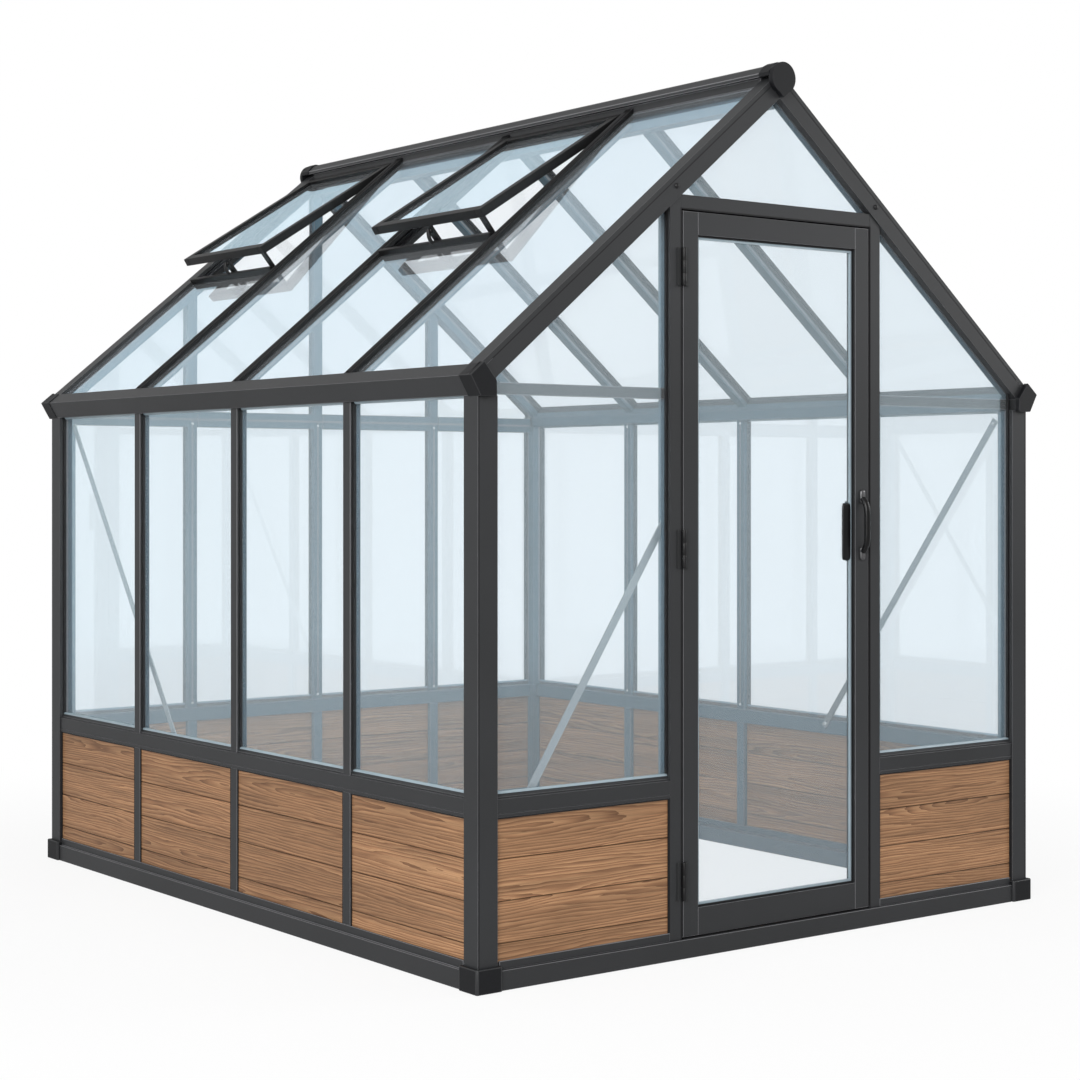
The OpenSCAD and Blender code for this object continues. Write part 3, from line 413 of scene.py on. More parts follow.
for part in frame["record"]["subparts"]:
    solid, slot = nodes[part["node"]], part["material_slot"]
    solid.data.materials.clear()
    solid.data.materials.append(special.get(part["node"], FINISH[slot]))
    if slot in EDGE:
        solid.modifiers.new("weld", "WELD").merge_threshold = WELD
        whole = solid.modifiers.new("whole_faces", "DECIMATE")
        whole.decimate_type = "DISSOLVE"
        whole.angle_limit = np.radians(FLAT_DEG)
        edge = solid.modifiers.new("soft_edges", "BEVEL")
        edge.width = EDGE[slot]
        edge.segments = 2
        edge.limit_method = "ANGLE"
        edge.angle_limit = np.radians(SHARP_DEG)
        # Most frame edges take the lighter coat, and the caps' edges the charcoal coat: painted highlights.
        if slot in EDGE_HIGHLIGHT and part["node"] not in NO_EDGE_HIGHLIGHT:
            solid.data.materials.append(EDGE_HIGHLIGHT[slot])
            edge.material = 1

# %% [markdown]
# ## Small tools for shapes
# Every new piece is a skin over a row of rings: a board is one outline carried along a line, a bolt head is
# a circle that shrinks as it rises, a handle is an oval that follows a bow. One function joins ring to ring
# and closes both ends, and another puts many such shells into one object.

# %% Skins and shells
CREASE_DEG = 35


def skin_over(rings):
    """Joins neighbouring rings (n rings of m points) by quads and closes the first and last with one face."""
    n, m = rings.shape[:2]
    i, j = np.meshgrid(np.arange(n - 1), np.arange(m), indexing="ij")
    a, b = i * m + j, i * m + (j + 1) % m
    quads = np.stack([a, b, b + m, a + m], -1).reshape(-1, 4)
    ends = np.stack([np.arange(m)[::-1], np.arange(m) + (n - 1) * m])
    return rings.reshape(-1, 3), quads, ends


def carry(outline, path, across):
    """An outline along a path: path point plus x times across plus y times (path direction x across)."""
    path = np.asarray(path, float)
    way = np.gradient(path, axis=0)
    way /= np.linalg.norm(way, axis=1, keepdims=True)
    across = np.broadcast_to(np.asarray(across, float), path.shape)
    over = np.cross(way, across)
    x, y = outline[None, :, :1], outline[None, :, 1:]
    return skin_over(path[:, None] + x * across[:, None] + y * over[:, None])


def gather(name, shells, material, body, smooth=False):
    """One object out of many shells: their points one after another, their faces counted on from there."""
    start = np.cumsum([0] + [len(points) for points, quads, ends in shells])
    faces = [face for k, shell in zip(start, shells) for part in shell[1:] for face in (part + k).tolist()]
    mesh = bpy.data.meshes.new(name)
    mesh.from_pydata(np.concatenate([shell[0] for shell in shells]).tolist(), [], faces)
    mesh.materials.append(material)
    if smooth:
        mesh.shade_smooth()
        mesh.set_sharp_from_angle(angle=np.radians(CREASE_DEG))
    piece = bpy.data.objects.new(name, mesh)
    scene.collection.objects.link(piece)
    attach(piece, body)
    print(name, "has", len(shells), "shells and", len(faces), "faces")
    return piece


# %% [markdown]
# ## The boards
# Each panel holds four boards, one above the other, with a small chamfer along every edge so that two
# boards meet in a vee. They are laid one by one, because every board has its own grain: its map starts at
# its own place along the trunk and at its own distance from the pith. A wall is given by the middle of its
# foot, the way inwards and the way along it. The inner faces of the boards are painted darker than the outer
# ones: painted shade, for the dimmer light inside the house.

# %% Panels and board outlines
WALLS = {"left": np.array([[-HALF_W, 0, 0], [1, 0, 0], [0, -1, 0]]),
         "right": np.array([[HALF_W, 0, 0], [-1, 0, 0], [0, 1, 0]]),
         "front": np.array([[0, -HALF_L, 0], [0, 1, 0], [1, 0, 0]]),
         "back": np.array([[0, HALF_L, 0], [0, -1, 0], [-1, 0, 0]])}
GROOVE = box("side_boards")[1, 1] - (HALF_L - POST)
BOARD_FACE, BOARD_BACK = HALF_L + box("front_boards")[:, 1]
BOARD_FOOT, BOARD_HEAD = box("side_boards")[:, 2]
FIRST_VEE, BOARD_WIDE, VEE, JOINT = 0.113, 0.104, 0.0022, 0.0002
side_lines = HALF_L / 2 * np.array([-1, 0, 1])
back_lines = HALF_W / 2 * np.array([-1, 0, 1])


def panels(lines, half):
    """The clear widths between the posts and the stiles on the given lines."""
    low = np.concatenate([[-half + POST], lines + BAR / 2])
    high = np.concatenate([lines - BAR / 2, [half - POST]])
    return np.stack([low, high], 1)


def board_outline(low, high):
    """A board's section, depth against height: a rectangle just clear of its joints, its corners cut off."""
    a, b, z0, z1 = BOARD_FACE, BOARD_BACK, low + JOINT, high - JOINT
    return np.array([[a, z0 + VEE], [a + VEE, z0], [b - VEE, z0], [b, z0 + VEE],
                     [b, z1 - VEE], [b - VEE, z1], [a + VEE, z1], [a, z1 - VEE]])


JAMB = box("door_jambs")[1, 0]
side, back = panels(side_lines, HALF_L), panels(back_lines, HALF_W)
front = np.array([[-HALF_W + POST, -JAMB], [JAMB, HALF_W - POST]])
clear = {"left": side, "right": side, "back": back, "front": front}
joints = np.concatenate([[BOARD_FOOT], FIRST_VEE + BOARD_WIDE * np.arange(3), [BOARD_HEAD]])
outlines = [board_outline(low, high) for low, high in zip(joints[:-1], joints[1:])]
print("side panels:", clear["left"].round(3).tolist())

# %% Laying the boards
TRUNK, OFF_PITH, UNEVEN = 60, 0.07, 0.12
VEE_TONE, INDOOR_SHADE = 0.25, 0.82
chance = np.random.default_rng(11)


def lay_boards(node, walls):
    """A node's boards, each with a tone and with a map in metres along the grain and from the pith."""
    shells, maps, tones = [], [], []
    for wall in walls:
        foot, inward, along = WALLS[wall]
        for span in clear[wall] + [-GROOVE, GROOVE]:
            for outline in outlines:
                shell = carry(outline, foot + along * span[:, None], inward)
                metres = shell[0] @ along + chance.uniform(0, TRUNK)
                pith = shell[0][:, 2] - outline[:, 1].mean() + chance.uniform(-OFF_PITH, OFF_PITH)
                shells.append(shell)
                maps.append(np.stack([metres, pith], 1))
                # The tone falls off in the vee between two boards.
                in_vee = np.tile(np.isin(outline[:, 1], (outline[:, 1].min(), outline[:, 1].max())), 2)
                # The inner faces are painted darker: painted shade.
                indoors = np.tile(outline[:, 0] > outline[:, 0].mean(), 2)
                tone = np.where(in_vee, VEE_TONE, 1.0) * np.where(indoors, INDOOR_SHADE, 1.0)
                tones.append(tone * chance.uniform(1 - UNEVEN, 1 + UNEVEN))
    piece = gather(node + "_laid", shells, stained_timber, "house")
    mesh = piece.data
    corner = np.empty(len(mesh.loops), np.int32)
    mesh.loops.foreach_get("vertex_index", corner)
    mesh.uv_layers.new(name="board_map").data.foreach_set("uv", np.concatenate(maps)[corner].ravel())
    mesh.attributes.new("board_tone", "FLOAT", "POINT").data.foreach_set("value", np.concatenate(tones))
    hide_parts(node)


lay_boards("side_boards", ("left", "right"))
lay_boards("front_boards", ("front",))
lay_boards("back_boards", ("back",))

# %% [markdown]
# ## Wipers of the wall panes
# A pale silicone wiper lies on the glass along the sill, and another under the eave. Its section is a small
# quarter round, carried along the clear width of the pane.

# %% Silicone wipers
WIPER, SQUEEZE = 0.006, 0.0003
ON_PANE = HALF_W + box("left_wall_glass")[0, 0] - SQUEEZE
turn = np.linspace(np.pi / 2, 0, 6)
arc = np.stack([ON_PANE - WIPER * np.cos(turn), WIPER * np.sin(turn)], 1)
foot_wiper = np.concatenate([[[ON_PANE, 0.0]], arc])
head_wiper = (foot_wiper * [1, -1])[::-1]
shells = []
for wall, spans in clear.items():
    foot, inward, along = WALLS[wall]
    for span in spans:
        path = foot + along * span[:, None]
        shells.append(carry(foot_wiper, path + [0, 0, SILL_BEAD], inward))
        if wall in ("left", "right"):
            shells.append(carry(head_wiper, path + [0, 0, EAVE_FOOT], inward))
gather("pane_wipers", shells, silicone, "house")

# %% [markdown]
# ## Gaskets beside the bars
# A black rubber gasket holds each wall pane along its upright edges. Its section is a small rectangle, 5 mm
# wide, and it stands from the sill to the eave, or, in the gables, to the rafter above it. A thinner black
# strip runs round the boards, on their outer face: painted shade along the panels' edges. The door's pane has
# a gasket and a pale wiper all round, which ride on the door.

# %% Rubber gaskets
STRIP, STRIP_FACE = 0.005, 0.013


def strip_outline(shallow, deep, wide):
    """A strip's section: a rectangle between two depths behind the posts, as wide as the strip."""
    return np.array([[shallow, -wide / 2], [deep, -wide / 2], [deep, wide / 2], [shallow, wide / 2]])


def upright(low, high):
    """The two ends of a line that stands upright between two heights."""
    return np.array([[0, 0, low], [0, 0, high]])


gasket = strip_outline(STRIP_FACE, ON_PANE, STRIP)
shells = []
for wall, spans in clear.items():
    foot, inward, along = WALLS[wall]
    for at in (spans + [STRIP / 2, -STRIP / 2]).ravel():
        top = EAVE_FOOT if wall in ("left", "right") else below_slope(at, RAFTER)
        shells.append(carry(gasket, foot + along * at + upright(SILL_BEAD + WIPER, top), inward))
gather("pane_gaskets", shells, rubber, "house")

# %% Painted shade round the boards
LIP_TOP = box("side_base_rails")[1, 2]
PANEL_SHADE, PANEL_SHADE_FACE = 0.004, 0.0065
# A black strip round each panel: painted shade along its edges.
panel_shade = strip_outline(PANEL_SHADE_FACE, BOARD_FACE - JOINT, PANEL_SHADE)
shells = []
for wall, spans in clear.items():
    foot, inward, along = WALLS[wall]
    for span in spans:
        for at in span + [PANEL_SHADE / 2, -PANEL_SHADE / 2]:
            shells.append(carry(panel_shade, foot + along * at + upright(LIP_TOP, SILL_UNDER), inward))
        across = foot + along * (span + [PANEL_SHADE, -PANEL_SHADE])[:, None]
        shells.append(carry(panel_shade, across + [0, 0, SILL_UNDER - PANEL_SHADE / 2], inward))
gather("panel_edge_shade", shells, rubber, "house")

# %% Gasket and wiper of the door's pane
LEAF_X = box("door_rails")[1, 0]
LEAF_LOW, LEAF_HIGH = box("door_glass")[:, 2] + [GROOVE, -GROOVE]
ON_LEAF_PANE = HALF_L + box("door_glass")[0, 1] - SQUEEZE
foot, inward, along = WALLS["front"]


def round_pane(shallow, x, low, high, wide):
    """Four strips inside an opening of the door: two stand at its full height, two lie between them."""
    section = strip_outline(shallow, ON_LEAF_PANE, wide)
    edges = [foot + along * side * (x - wide / 2) + upright(low, high) for side in (-1, 1)]
    level = foot + along * np.array([[wide - x], [x - wide]])
    edges += [level + [0, 0, z] for z in (low + wide / 2, high - wide / 2)]
    return [carry(section, edge, inward) for edge in edges]


GASKET_FACE, WIPER_FACE = 0.011, 0.0145
gather("door_gasket", round_pane(GASKET_FACE, LEAF_X, LEAF_LOW, LEAF_HIGH, STRIP), rubber, "door")
within = (LEAF_X - STRIP, LEAF_LOW + STRIP, LEAF_HIGH - STRIP)
gather("door_wiper", round_pane(WIPER_FACE, *within, WIPER), silicone, "door")

# %% [markdown]
# ## Painted shade in the door gap and the seams
# The gap round the door is 5 mm wide. Thin black strips line it, on the leaf's hinge edge, the other jamb,
# the header and the base rail, and a narrow black lip lies beside it on the jambs and the header: painted
# shade, so that the gap reads as a dark line. The posts and the rafters are closed by a clipped cover, whose
# joint shows as a fine dark line beside the edge: a black strip 3 mm wide that stands 0.3 mm proud, painted
# shade in the joint.
# dark line beside the edge: a strip 3 mm wide that stands 0.3 mm proud.

# %% Painted shade in the door gap
GAP_X, BASE_TOP = box("door_header")[1, 0], box("front_base_rail")[1, 2]
LEAF_EDGE, LEAF_TOP = box("door_stiles")[1, [0, 2]]
HEADER_UNDER = LEAF_TOP + GAP_X - LEAF_EDGE
STOPS = np.array([0.003, -0.002])
LINING, LINING_DEPTHS, LIP, LIP_DEPTHS = 0.0012, (0.0045, 0.034), 0.003, (0.0034, 0.0044)
# The strips and the lip are black: painted shade in and beside the door gap.
lining = strip_outline(*LINING_DEPTHS, LINING)
lip = strip_outline(*LIP_DEPTHS, LIP)
tall = upright(*(box("door_stiles")[:, 2] + STOPS))
both_ways = along * np.array([[-1], [1]])
hinge_edge = foot + along * (-LEAF_EDGE - LINING / 2) + tall
gather("leaf_gap_shade", [carry(lining, hinge_edge, inward)], rubber, "door")
shells = [carry(lining, foot + along * (GAP_X - LINING / 2) + tall, inward)]
shells += [carry(lining, foot + both_ways * LEAF_EDGE + [0, 0, z], inward)
           for z in (HEADER_UNDER - LINING / 2, BASE_TOP + LINING / 2)]
shells += [carry(lip, foot + along * side * (GAP_X + LIP / 2) + upright(BASE_TOP, HEADER_UNDER), inward)
           for side in (-1, 1)]
shells.append(carry(lip, foot + both_ways * (GAP_X + LIP) + [0, 0, HEADER_UNDER + LIP / 2], inward))
gather("frame_gap_shade", shells, rubber, "house")

# %% Painted shade in the cover seams
SEAM, SEAM_PROUD, SEAM_SUNK = 0.003, 0.0003, 0.0004
POST_SEAM, RAFTER_SEAM, SEAM_ENDS = 0.0034, 0.013, (0.965, 0.012)


def rafter_line(wall, side, ends, depth):
    """A line along a gable's rafter, between two distances from the middle, so deep below the slope."""
    foot, inward, along = WALLS[wall]
    ends = np.array(ends)
    return foot + side * np.outer(ends, along) + np.outer(below_slope(ends, depth), [0, 0, 1])


# The seam strip is black: painted shade in the cover's joint.
seam = strip_outline(-SEAM_PROUD, SEAM_SUNK, SEAM)
shells = []
for wall in ("front", "back"):
    foot, inward, along = WALLS[wall]
    for side in (-1, 1):
        post_line = foot + along * side * (HALF_W - POST_SEAM) + upright(BASE_TOP, EAVE_FOOT)
        shells.append(carry(seam, post_line, inward))
        shells.append(carry(seam, rafter_line(wall, side, SEAM_ENDS, RAFTER_SEAM), inward))
gather("cover_seam_shade", shells, rubber, "house")

# %% [markdown]
# ## Cappings on the roof bars
# Rubber cappings are pressed onto the roof bars from outside and shed the rain. The section is a flat arch;
# it is carried up the slope, from the eave beam to the ridge capping.

# %% Rubber cappings
up_slope = np.array([np.cos(PITCH), 0, np.sin(PITCH)])
off_slope = np.array([-np.sin(PITCH), 0, np.cos(PITCH)])
OTHER_SLOPE = np.array([-1, 1, 1])
CAP_ENDS, CAP_WIDE, CAP_HIGH = (0.050, 1.285), 0.020, 0.0045


def on_roof(along, y, above):
    """Points of the left slope: so far up from the eave, at y, and so far above the bars' tops."""
    along, above = np.asarray(along, float), np.asarray(above, float)
    return np.array([-RUN, y, EAVE]) + along[..., None] * up_slope + above[..., None] * off_slope


turn = np.linspace(0, np.pi, 9)
arch = np.stack([CAP_WIDE / 2 * np.cos(turn), CAP_HIGH * np.sin(turn)], 1)
shells = []
for y in side_lines:
    slope_line = on_roof(CAP_ENDS, y, 0.0)
    shells.append(carry(arch, slope_line, (0, 1, 0)))
    shells.append(carry(arch, slope_line * OTHER_SLOPE, (0, -1, 0)))
gather("bar_cappings", shells, rubber, "house")

# %% [markdown]
# ## Bolt channels
# Every section has a channel for bolts on its inner face, and a light line is painted along its lips as a
# painted highlight. It shows along the middle of each bar, post, tie and rafter, seen from inside the house,
# and along both sides of the roof bars. The line is a strip 6 to 7 mm wide that stands 0.5 mm proud.

# %% Bolt channels on walls and gables
CHANNEL, PROUD, SUNK = 0.007, 0.0005, 0.0002
RAFTER_ENDS, TIE_END = (0.94, 0.05), 0.94
tie = box("back_tie_bars")
BAR_DEEP, RAFTER_DEEP = HALF_L - box("back_wall_bars")[0, 1], HALF_L - box("back_rafters")[0, 1]
deep = {"bar": BAR_DEEP, "post": POST, "tie": HALF_L - tie[0, 1], "rafter": RAFTER_DEEP}
channel = {name: strip_outline(depth - SUNK, depth + PROUD, CHANNEL) for name, depth in deep.items()}
rise = upright(SILL_BEAD, EAVE_FOOT)
bar_lines = {"left": side_lines, "right": side_lines, "back": back_lines, "front": ()}
shells = []
for wall, lines in bar_lines.items():
    foot, inward, along = WALLS[wall]
    post_x = (HALF_W if wall in ("front", "back") else HALF_L) - POST / 2
    shells += [carry(channel["bar"], foot + along * x + rise, inward) for x in lines]
    shells += [carry(channel["post"], foot + along * x + rise, inward) for x in (-post_x, post_x)]
shells += [carry(channel["rafter"], rafter_line(wall, side, RAFTER_ENDS, RAFTER / 2), WALLS[wall][1])
           for wall in ("front", "back") for side in (-1, 1)]
foot, inward, along = WALLS["back"]
tie_line = foot + along * np.array([[-TIE_END], [TIE_END]]) + [0, 0, tie[:, 2].mean()]
shells.append(carry(channel["tie"], tie_line, inward))
gather("wall_channels", shells, highlight_coat, "house")

# %% Bolt channels on the roof bars
UNDER_TOP, SIDE_CHANNEL, CHANNEL_ENDS = 0.034, 0.006, (0.080, 1.270)
beside = strip_outline(-SUNK, PROUD, SIDE_CHANNEL)
shells = []
for y in side_lines:
    for side in (-1, 1):
        low_line = on_roof(CHANNEL_ENDS, y + side * BAR / 2, -UNDER_TOP)
        shells.append(carry(beside, low_line, (0, side, 0)))
        shells.append(carry(beside, low_line * OTHER_SLOPE, (0, side, 0)))
gather("roof_channels", shells, highlight_coat, "house")

# %% [markdown]
# ## Bolts
# The frame is bolted: button heads on the gable where the rafters meet the jambs, and stainless heads
# inside, at the head and foot of each bar and at the ends of the wind braces. A head is a circle that
# shrinks as it rises; the same rings are turned to each face by three axes.

# %% Button-head bolts
CLOSING, TALLNESS = 0.92, 0.36


def button_heads(places, facing, wide):
    """Rings of a button head at each place: radius and height follow a quarter oval, on axes of the face."""
    facing = np.array(facing, float)
    side = np.cross(facing, [0, 0, 1])
    side /= np.linalg.norm(side)
    lift = np.cross(facing, side)
    rise = np.linspace(0, 1, 5)[:, None]
    turn = np.linspace(0, 2 * np.pi, 12, endpoint=False)[None]
    radius = wide / 2 * np.sqrt(1 - CLOSING * rise ** 2)
    rings = (radius * np.cos(turn))[..., None] * side + (radius * np.sin(turn))[..., None] * lift
    rings = rings + (TALLNESS * wide * rise * np.ones_like(turn))[..., None] * facing
    return [skin_over(rings + np.array(place)) for place in places]


BOLT_X, GABLE_HEAD = 0.37, 0.015
places = [(x, -HALF_L, below_slope(x, RAFTER / 2)) for x in (-BOLT_X, BOLT_X)]
gable_bolts = button_heads(places, (0, -1, 0), GABLE_HEAD)
gather("gable_bolts", gable_bolts, painted_casting, "house", smooth=True)

# %% Inside bolts
INSIDE_HEAD, FROM_SILL, FROM_EAVE = 0.010, 0.006, 0.012
INSIDE_Z = (SILL_BEAD + FROM_SILL, EAVE_FOOT - FROM_EAVE)
inside = []
for side in (-1, 1):
    places = [(side * (HALF_W - BAR_DEEP), y, z) for y in side_lines for z in INSIDE_Z]
    inside += button_heads(places, (-side, 0, 0), INSIDE_HEAD)
places = [(x, HALF_L - BAR_DEEP, z) for x in back_lines for z in INSIDE_Z]
inside += button_heads(places, (0, -1, 0), INSIDE_HEAD)
gather("inside_bolts", inside, stainless, "house", smooth=True)

# %% Brace bolts
BRACE_HEAD, BRACE_WIDE, BRACE_THICK, BRACE_CLEAR = 0.012, 0.022, 0.004, 0.004
BRACE_FACE = BAR_DEEP + BRACE_THICK
BRACE_HIGH = EAVE_FOOT - BRACE_WIDE - BRACE_CLEAR
BRACE_LOW = (SILL_UNDER + box("side_wall_bars")[0, 2]) / 2
BRACE_FAR, BRACE_NEAR = HALF_L - POST - BRACE_WIDE, HALF_L / 3
DOOR_BRACE_X, DOOR_BRACE_Z = -0.8305, 0.462


def along_strap(first, last, inset=0.014):
    """Two points of a strap, set in from its ends along the line between them."""
    first, last = np.array(first), np.array(last)
    step = (last - first) / np.linalg.norm(last - first) * inset
    return [first + step, last - step]


braces = []
for side in (-1, 1):
    x = side * (HALF_W - BRACE_FACE)
    strap = along_strap((x, -side * BRACE_FAR, BRACE_HIGH), (x, -side * BRACE_NEAR, BRACE_LOW))
    braces += button_heads(strap, (-side, 0, 0), BRACE_HEAD)
braces += button_heads([(DOOR_BRACE_X, -HALF_L + BRACE_FACE, DOOR_BRACE_Z)], (0, 1, 0), BRACE_HEAD)
gather("brace_bolts", braces, stainless, "house", smooth=True)

# %% [markdown]
# ## Vent stays
# Each vent rests on a cast stay. A round lever is pinned to the casting and bends up to the sash; two pins
# hold it. The lever is a circle carried along a shallow curve that stands square to the slope.

# %% Levers and pins
VENT_MIDDLES = (-HALF_L / 4, (HALF_L / 2 + BAR / 2 + HALF_L - RAFTER_DEEP) / 2)
STAY_FACE, LEVER, LEVER_CLEAR, LEVER_BOW = 0.6942, 0.006, 0.004, 0.014
LEVER_FOOT, LEVER_TALL, PIN_HEIGHTS, PIN_HEAD = -0.018, 0.062, (-0.014, 0.036), 0.016
turn = np.linspace(0, 2 * np.pi, 12, endpoint=False)
rod = LEVER * np.stack([np.cos(turn), np.sin(turn)], 1)
t = np.linspace(0, 1, 15)
levers, pins = [], []
for y in VENT_MIDDLES:
    up = STAY_FACE - LEVER_CLEAR - LEVER_BOW * np.sin(np.pi * t)
    bend = on_roof(up, y, LEVER_FOOT + LEVER_TALL * t)
    levers.append(carry(rod, bend, (0, 1, 0)))
    pins += button_heads(on_roof(STAY_FACE, y, PIN_HEIGHTS), -up_slope, PIN_HEAD)
gather("stay_levers", levers, painted_casting, "house", smooth=True)
gather("stay_pins", pins, painted_casting, "house", smooth=True)

# %% [markdown]
# ## The outside pull
# The pull is a bow of black nylon that springs from two gunmetal plates on the door stile. The grip's
# section is a flat oval; its path rises steeply from one plate, runs almost straight and comes back. A
# plate is a rounded rectangle whose rings shrink as it rises, so its edge is domed.

# %% Pull and plates
PULL_X, PULL_Z = box("outside_pull").mean(0)[[0, 2]]
DOOR_FACE = box("door_stiles")[0, 1]
BOW_FOOT, BOW_OUT, BOW_HALF, BOW_POWER = 0.005, 0.017, 0.074, 5.0
GRIP_HALF_X, GRIP_HALF_Y = 0.0099, 0.0078
turn = np.linspace(0, 2 * np.pi, 20, endpoint=False)
oval = np.stack([GRIP_HALF_X * np.cos(turn), GRIP_HALF_Y * np.sin(turn)], 1)
t = np.linspace(-1, 1, 41)
stand_off = BOW_FOOT + BOW_OUT * (1 - np.abs(t) ** BOW_POWER)
bow = np.stack([np.full_like(t, PULL_X), DOOR_FACE - stand_off, PULL_Z + BOW_HALF * t], 1)
grip = gather("pull_bow", [carry(oval, bow, (1, 0, 0))], polished_nylon, "door", smooth=True)
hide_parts("outside_pull")


def rounded(angle, half_x, half_z, blunt_x, blunt_z):
    """A rounded rectangle: cosine and sine, raised to a small power with their signs, times half sizes."""
    c, s = np.cos(angle), np.sin(angle)
    return np.sign(c) * np.abs(c) ** blunt_x * half_x, np.sign(s) * np.abs(s) ** blunt_z * half_z


def domed_pad(middle, half_x, half_z, high, power=4.0):
    """A pad on the door: rounded rectangles |x/a|^n + |z/b|^n = 1 that shrink as they rise along an arc."""
    x, z = rounded(np.linspace(0, 2 * np.pi, 32, endpoint=False), half_x, half_z, 2 / power, 2 / power)
    rise = np.array([0.0, 0.45, 0.75, 0.93, 1.0])[:, None]
    inset = np.array([0.0, 0.0, 0.0009, 0.0025, 0.0055])[:, None]
    rings = np.stack([x * (1 - inset / half_x), -high * rise * np.ones_like(x), z * (1 - inset / half_z)], -1)
    return skin_over(rings + np.array(middle))


PLATE_X, PLATE_Z, PLATE_HIGH, PLATE_APART = 0.0098, 0.0185, 0.007, 0.160
plates = [domed_pad((PULL_X, DOOR_FACE, PULL_Z + side * PLATE_APART / 2), PLATE_X, PLATE_Z, PLATE_HIGH)
          for side in (-1, 1)]
gather("pull_plates", plates, gunmetal, "door", smooth=True)

# %% [markdown]
# ## The inside pull
# Behind the stile is a plain block of black nylon with soft corners. Its rings are rounded rectangles that
# stand off the leaf and close in at the end. A black pad on the outside of the pane keeps knuckles off the
# glass; for the camera it lies in front of the block.

# %% Inside block and pane pad
BLOCK_X, BLOCK_TALL, ON_GLASS = 0.010, 0.086, 0.0001
LEAF_BACK, BLOCK_Z = box("inside_pull")[0, 1], box("inside_pull").mean(0)[2]
x, z = rounded(np.linspace(2 * np.pi, 0, 40, endpoint=False), BLOCK_X, BLOCK_TALL, 0.4, 0.22)
out = np.array([0.0, 0.018, 0.023, 0.026, 0.028])[:, None]
narrow = np.array([1.0, 1.0, 0.985, 0.93, 0.80])[:, None]
rings = np.stack([PULL_X + x * narrow, LEAF_BACK + out * np.ones_like(x),
                  BLOCK_Z + z * (1 - (1 - narrow) * 0.12)], -1)
block = gather("inside_block", [skin_over(rings)], polished_nylon, "door", smooth=True)
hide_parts("inside_pull")
PAD_X, PAD_HALF_X, PAD_HALF_Z, PAD_HIGH, PAD_POWER = 0.2715, 0.0153, 0.080, 0.006, 9.0
pane_face = box("door_glass")[0, 1] - ON_GLASS
pane_pad = domed_pad((PAD_X, pane_face, BLOCK_Z), PAD_HALF_X, PAD_HALF_Z, PAD_HIGH, PAD_POWER)
gather("pane_pad", [pane_pad], polished_nylon, "door", smooth=True)

# %% [markdown]
# ## The studio
# A white floor under a white sky, one large soft lamp high on the left and a weaker one on the right. The
# camera sees plain white, also through glass. What a sharp mirror sees, and here that is glass, is a pale
# blue that deepens overhead, which gives the panes their cool cast. What the satin coat mirrors is a
# neutral grey that is brighter on the left, as if a white screen stood there. The light that falls on the
# house is gentler than all of these. Close to the house the floor keeps part of its shadow, and further out
# it fades into the white of the sky.

# %% White sky
WHITE, MIRRORED, OVERHEAD = linear("#ffffff"), linear("#cbf0ff"), linear("#bde2fa")
SKY_LIGHT, SCREEN = 0.55, {"From Min": -0.9, "From Max": 0.4, "To Min": 1.0, "To Max": 0.5}


def seen_rays(tree):
    """Which rays look straight at the studio, which are mirrored in anything, and which in a sharp mirror."""
    ray = put(tree, "LightPath").outputs
    glossy, through = ray["Is Glossy Ray"], ray["Is Transmission Ray"]
    seen = put(tree, "Math", links={0: ray["Is Camera Ray"], 1: glossy}, operation="MAXIMUM")
    seen = put(tree, "Math", links={0: seen.outputs[0], 1: through}, operation="MAXIMUM")
    first = put(tree, "Math", {1: 0.5}, {0: ray["Diffuse Depth"]}, operation="LESS_THAN")
    seen = put(tree, "Math", links={0: seen.outputs[0], 1: first.outputs[0]}, operation="MULTIPLY")
    glint = put(tree, "Math", links={0: glossy, 1: through}, operation="SUBTRACT", use_clamp=True)
    sharp = put(tree, "Math", links={0: glint.outputs[0], 1: ray["Is Singular Ray"]}, operation="MULTIPLY")
    return seen.outputs[0], glint.outputs[0], sharp.outputs[0]


sky = bpy.data.worlds.new("white_sky")
scene.world = sky
sky.use_nodes = True
tree = sky.node_tree
tree.nodes.clear()
seen, glint, sharp = seen_rays(tree)
way = put(tree, "TexCoord").outputs["Generated"]
way = put(tree, "SeparateXYZ", links={"Vector": way})
height = put(tree, "MapRange", {"From Min": 0.1, "From Max": 0.8}, {"Value": way.outputs["Z"]})
above = put(tree, "Mix", {"A": MIRRORED, "B": OVERHEAD}, {"Factor": height.outputs[0]}, data_type="RGBA")
screen = put(tree, "MapRange", SCREEN, {"Value": way.outputs["X"]})
satin = put(tree, "Mix", {"A": WHITE}, {"Factor": glint, "B": screen.outputs[0]}, data_type="RGBA")
hue = put(tree, "Mix", data_type="RGBA",
          links={"Factor": sharp, "A": satin.outputs["Result"], "B": above.outputs["Result"]})
power = put(tree, "MapRange", {"To Min": SKY_LIGHT, "To Max": 1.0}, {"Value": seen})
air = put(tree, "Background", links={"Color": hue.outputs["Result"], "Strength": power.outputs[0]})
put(tree, "OutputWorld", links={"Surface": air.outputs[0]})
print(sky.name)

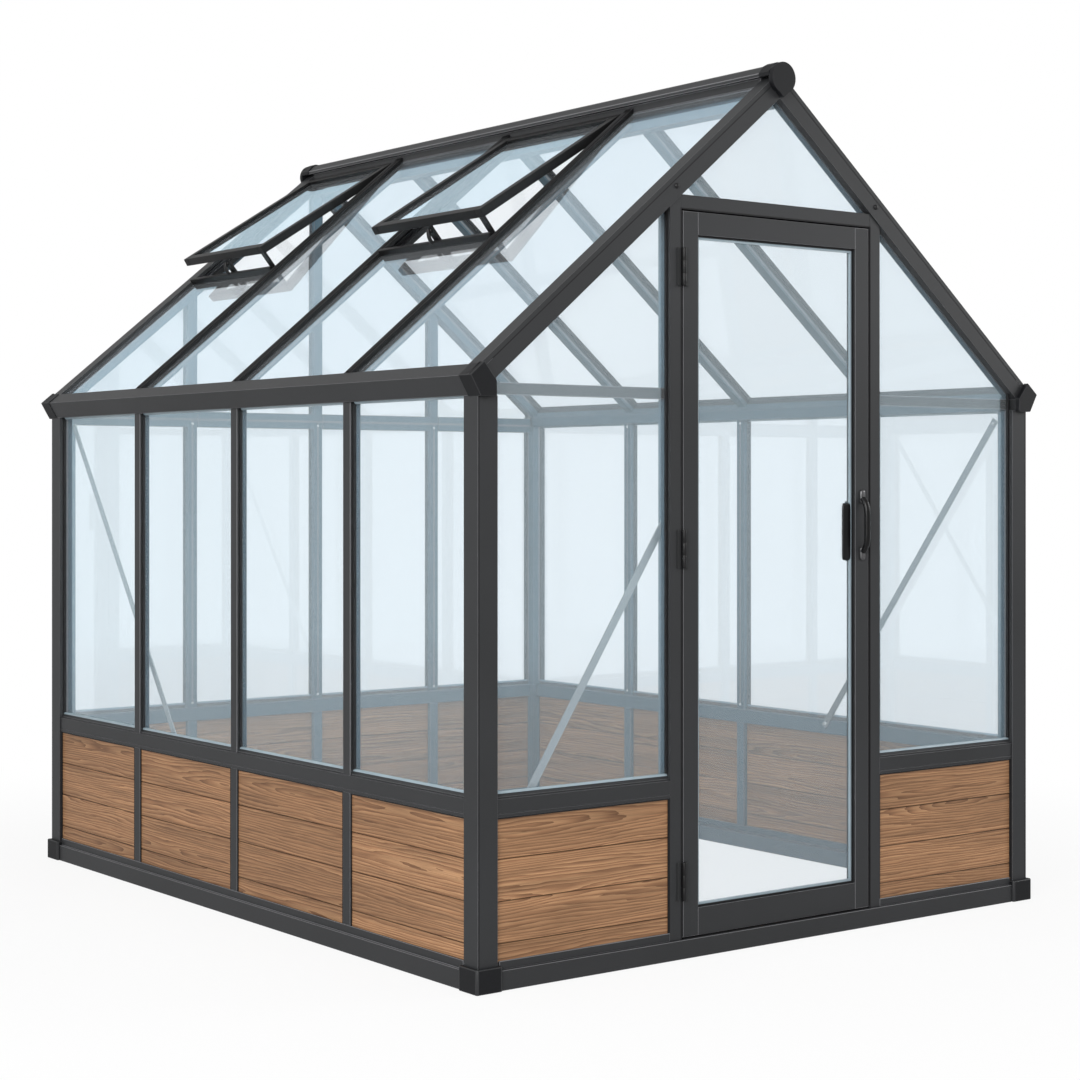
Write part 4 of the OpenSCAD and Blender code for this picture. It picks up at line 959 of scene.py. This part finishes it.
# %% White floor
FLOOR, FLOOR_DROP = 40.0, 0.001
GREY, SHADED = linear("#c8c8c9"), linear("#8fa0a8")
SHADOW_FADE = {"From Min": 1.6, "From Max": 3.4, "To Min": 0.88, "To Max": 1.0}
corner = np.array([[-1, -1, 0], [1, -1, 0], [1, 1, 0], [-1, 1, 0]]) * FLOOR - [0, 0, FLOOR_DROP]
sheet = bpy.data.meshes.new("studio_floor")
sheet.from_pydata(corner.tolist(), [], [[0, 1, 2, 3]])
floor = bpy.data.objects.new("studio_floor", sheet)
scene.collection.objects.link(floor)
paper = bpy.data.materials.new("matt_white_paper")
paper.use_nodes = True
tree = paper.node_tree
tree.nodes.clear()
seen, glint, sharp = seen_rays(tree)
away = put(tree, "TexCoord").outputs["Object"]
away = put(tree, "VectorMath", links={0: away}, operation="LENGTH").outputs["Value"]
fade = put(tree, "MapRange", SHADOW_FADE, {"Value": away}, interpolation_type="SMOOTHSTEP")
share = put(tree, "Math", links={0: seen, 1: fade.outputs[0]}, operation="MULTIPLY")
matt = put(tree, "BsdfDiffuse", {"Color": (0.85, 0.85, 0.85, 1)})
satin = put(tree, "Mix", {"A": WHITE, "B": GREY}, {"Factor": glint}, data_type="RGBA")
near = put(tree, "MapRange", {"From Min": 2.0, "From Max": 12.0}, {"Value": away})
# Seen in a sharp mirror, the floor is a shaded blue grey near the house and the mirrored sky further out:
# painted shade in its reflection.
below = put(tree, "Mix", {"A": SHADED, "B": MIRRORED}, {"Factor": near.outputs[0]}, data_type="RGBA")
hue = put(tree, "Mix", data_type="RGBA",
          links={"Factor": sharp, "A": satin.outputs["Result"], "B": below.outputs["Result"]})
glow = put(tree, "Emission", {"Strength": 1.0}, {"Color": hue.outputs["Result"]})
blend = put(tree, "MixShader", links={"Fac": share.outputs[0]})
tree.links.new(matt.outputs[0], blend.inputs[1])
tree.links.new(glow.outputs[0], blend.inputs[2])
put(tree, "OutputMaterial", links={"Surface": blend.outputs[0]})
sheet.materials.append(paper)
print(floor.name, FLOOR * 2, "m wide")

# %% Soft lamps
LAMP_AIM = (0, 0, 1.0)


def soft_lamp(name, at, size, watts):
    """A square area lamp at a point, turned so that its beam runs to the middle of the house."""
    light = bpy.data.lights.new(name, "AREA")
    light.size = size
    light.energy = watts
    lamp = bpy.data.objects.new(name, light)
    way = np.array(LAMP_AIM) - np.array(at)
    flat = np.hypot(way[0], way[1])
    lamp.location = at
    lamp.rotation_euler = (np.arctan2(flat, -way[2]), 0.0, np.arctan2(way[1], way[0]) - np.pi / 2)
    scene.collection.objects.link(lamp)
    return lamp


key = soft_lamp("key_lamp", (-6.0, -5.0, 3.8), 4.0, 440)
fill = soft_lamp("fill_lamp", (6.5, -4.0, 3.5), 3.0, 130)
print("lamps:", key.name, fill.name)
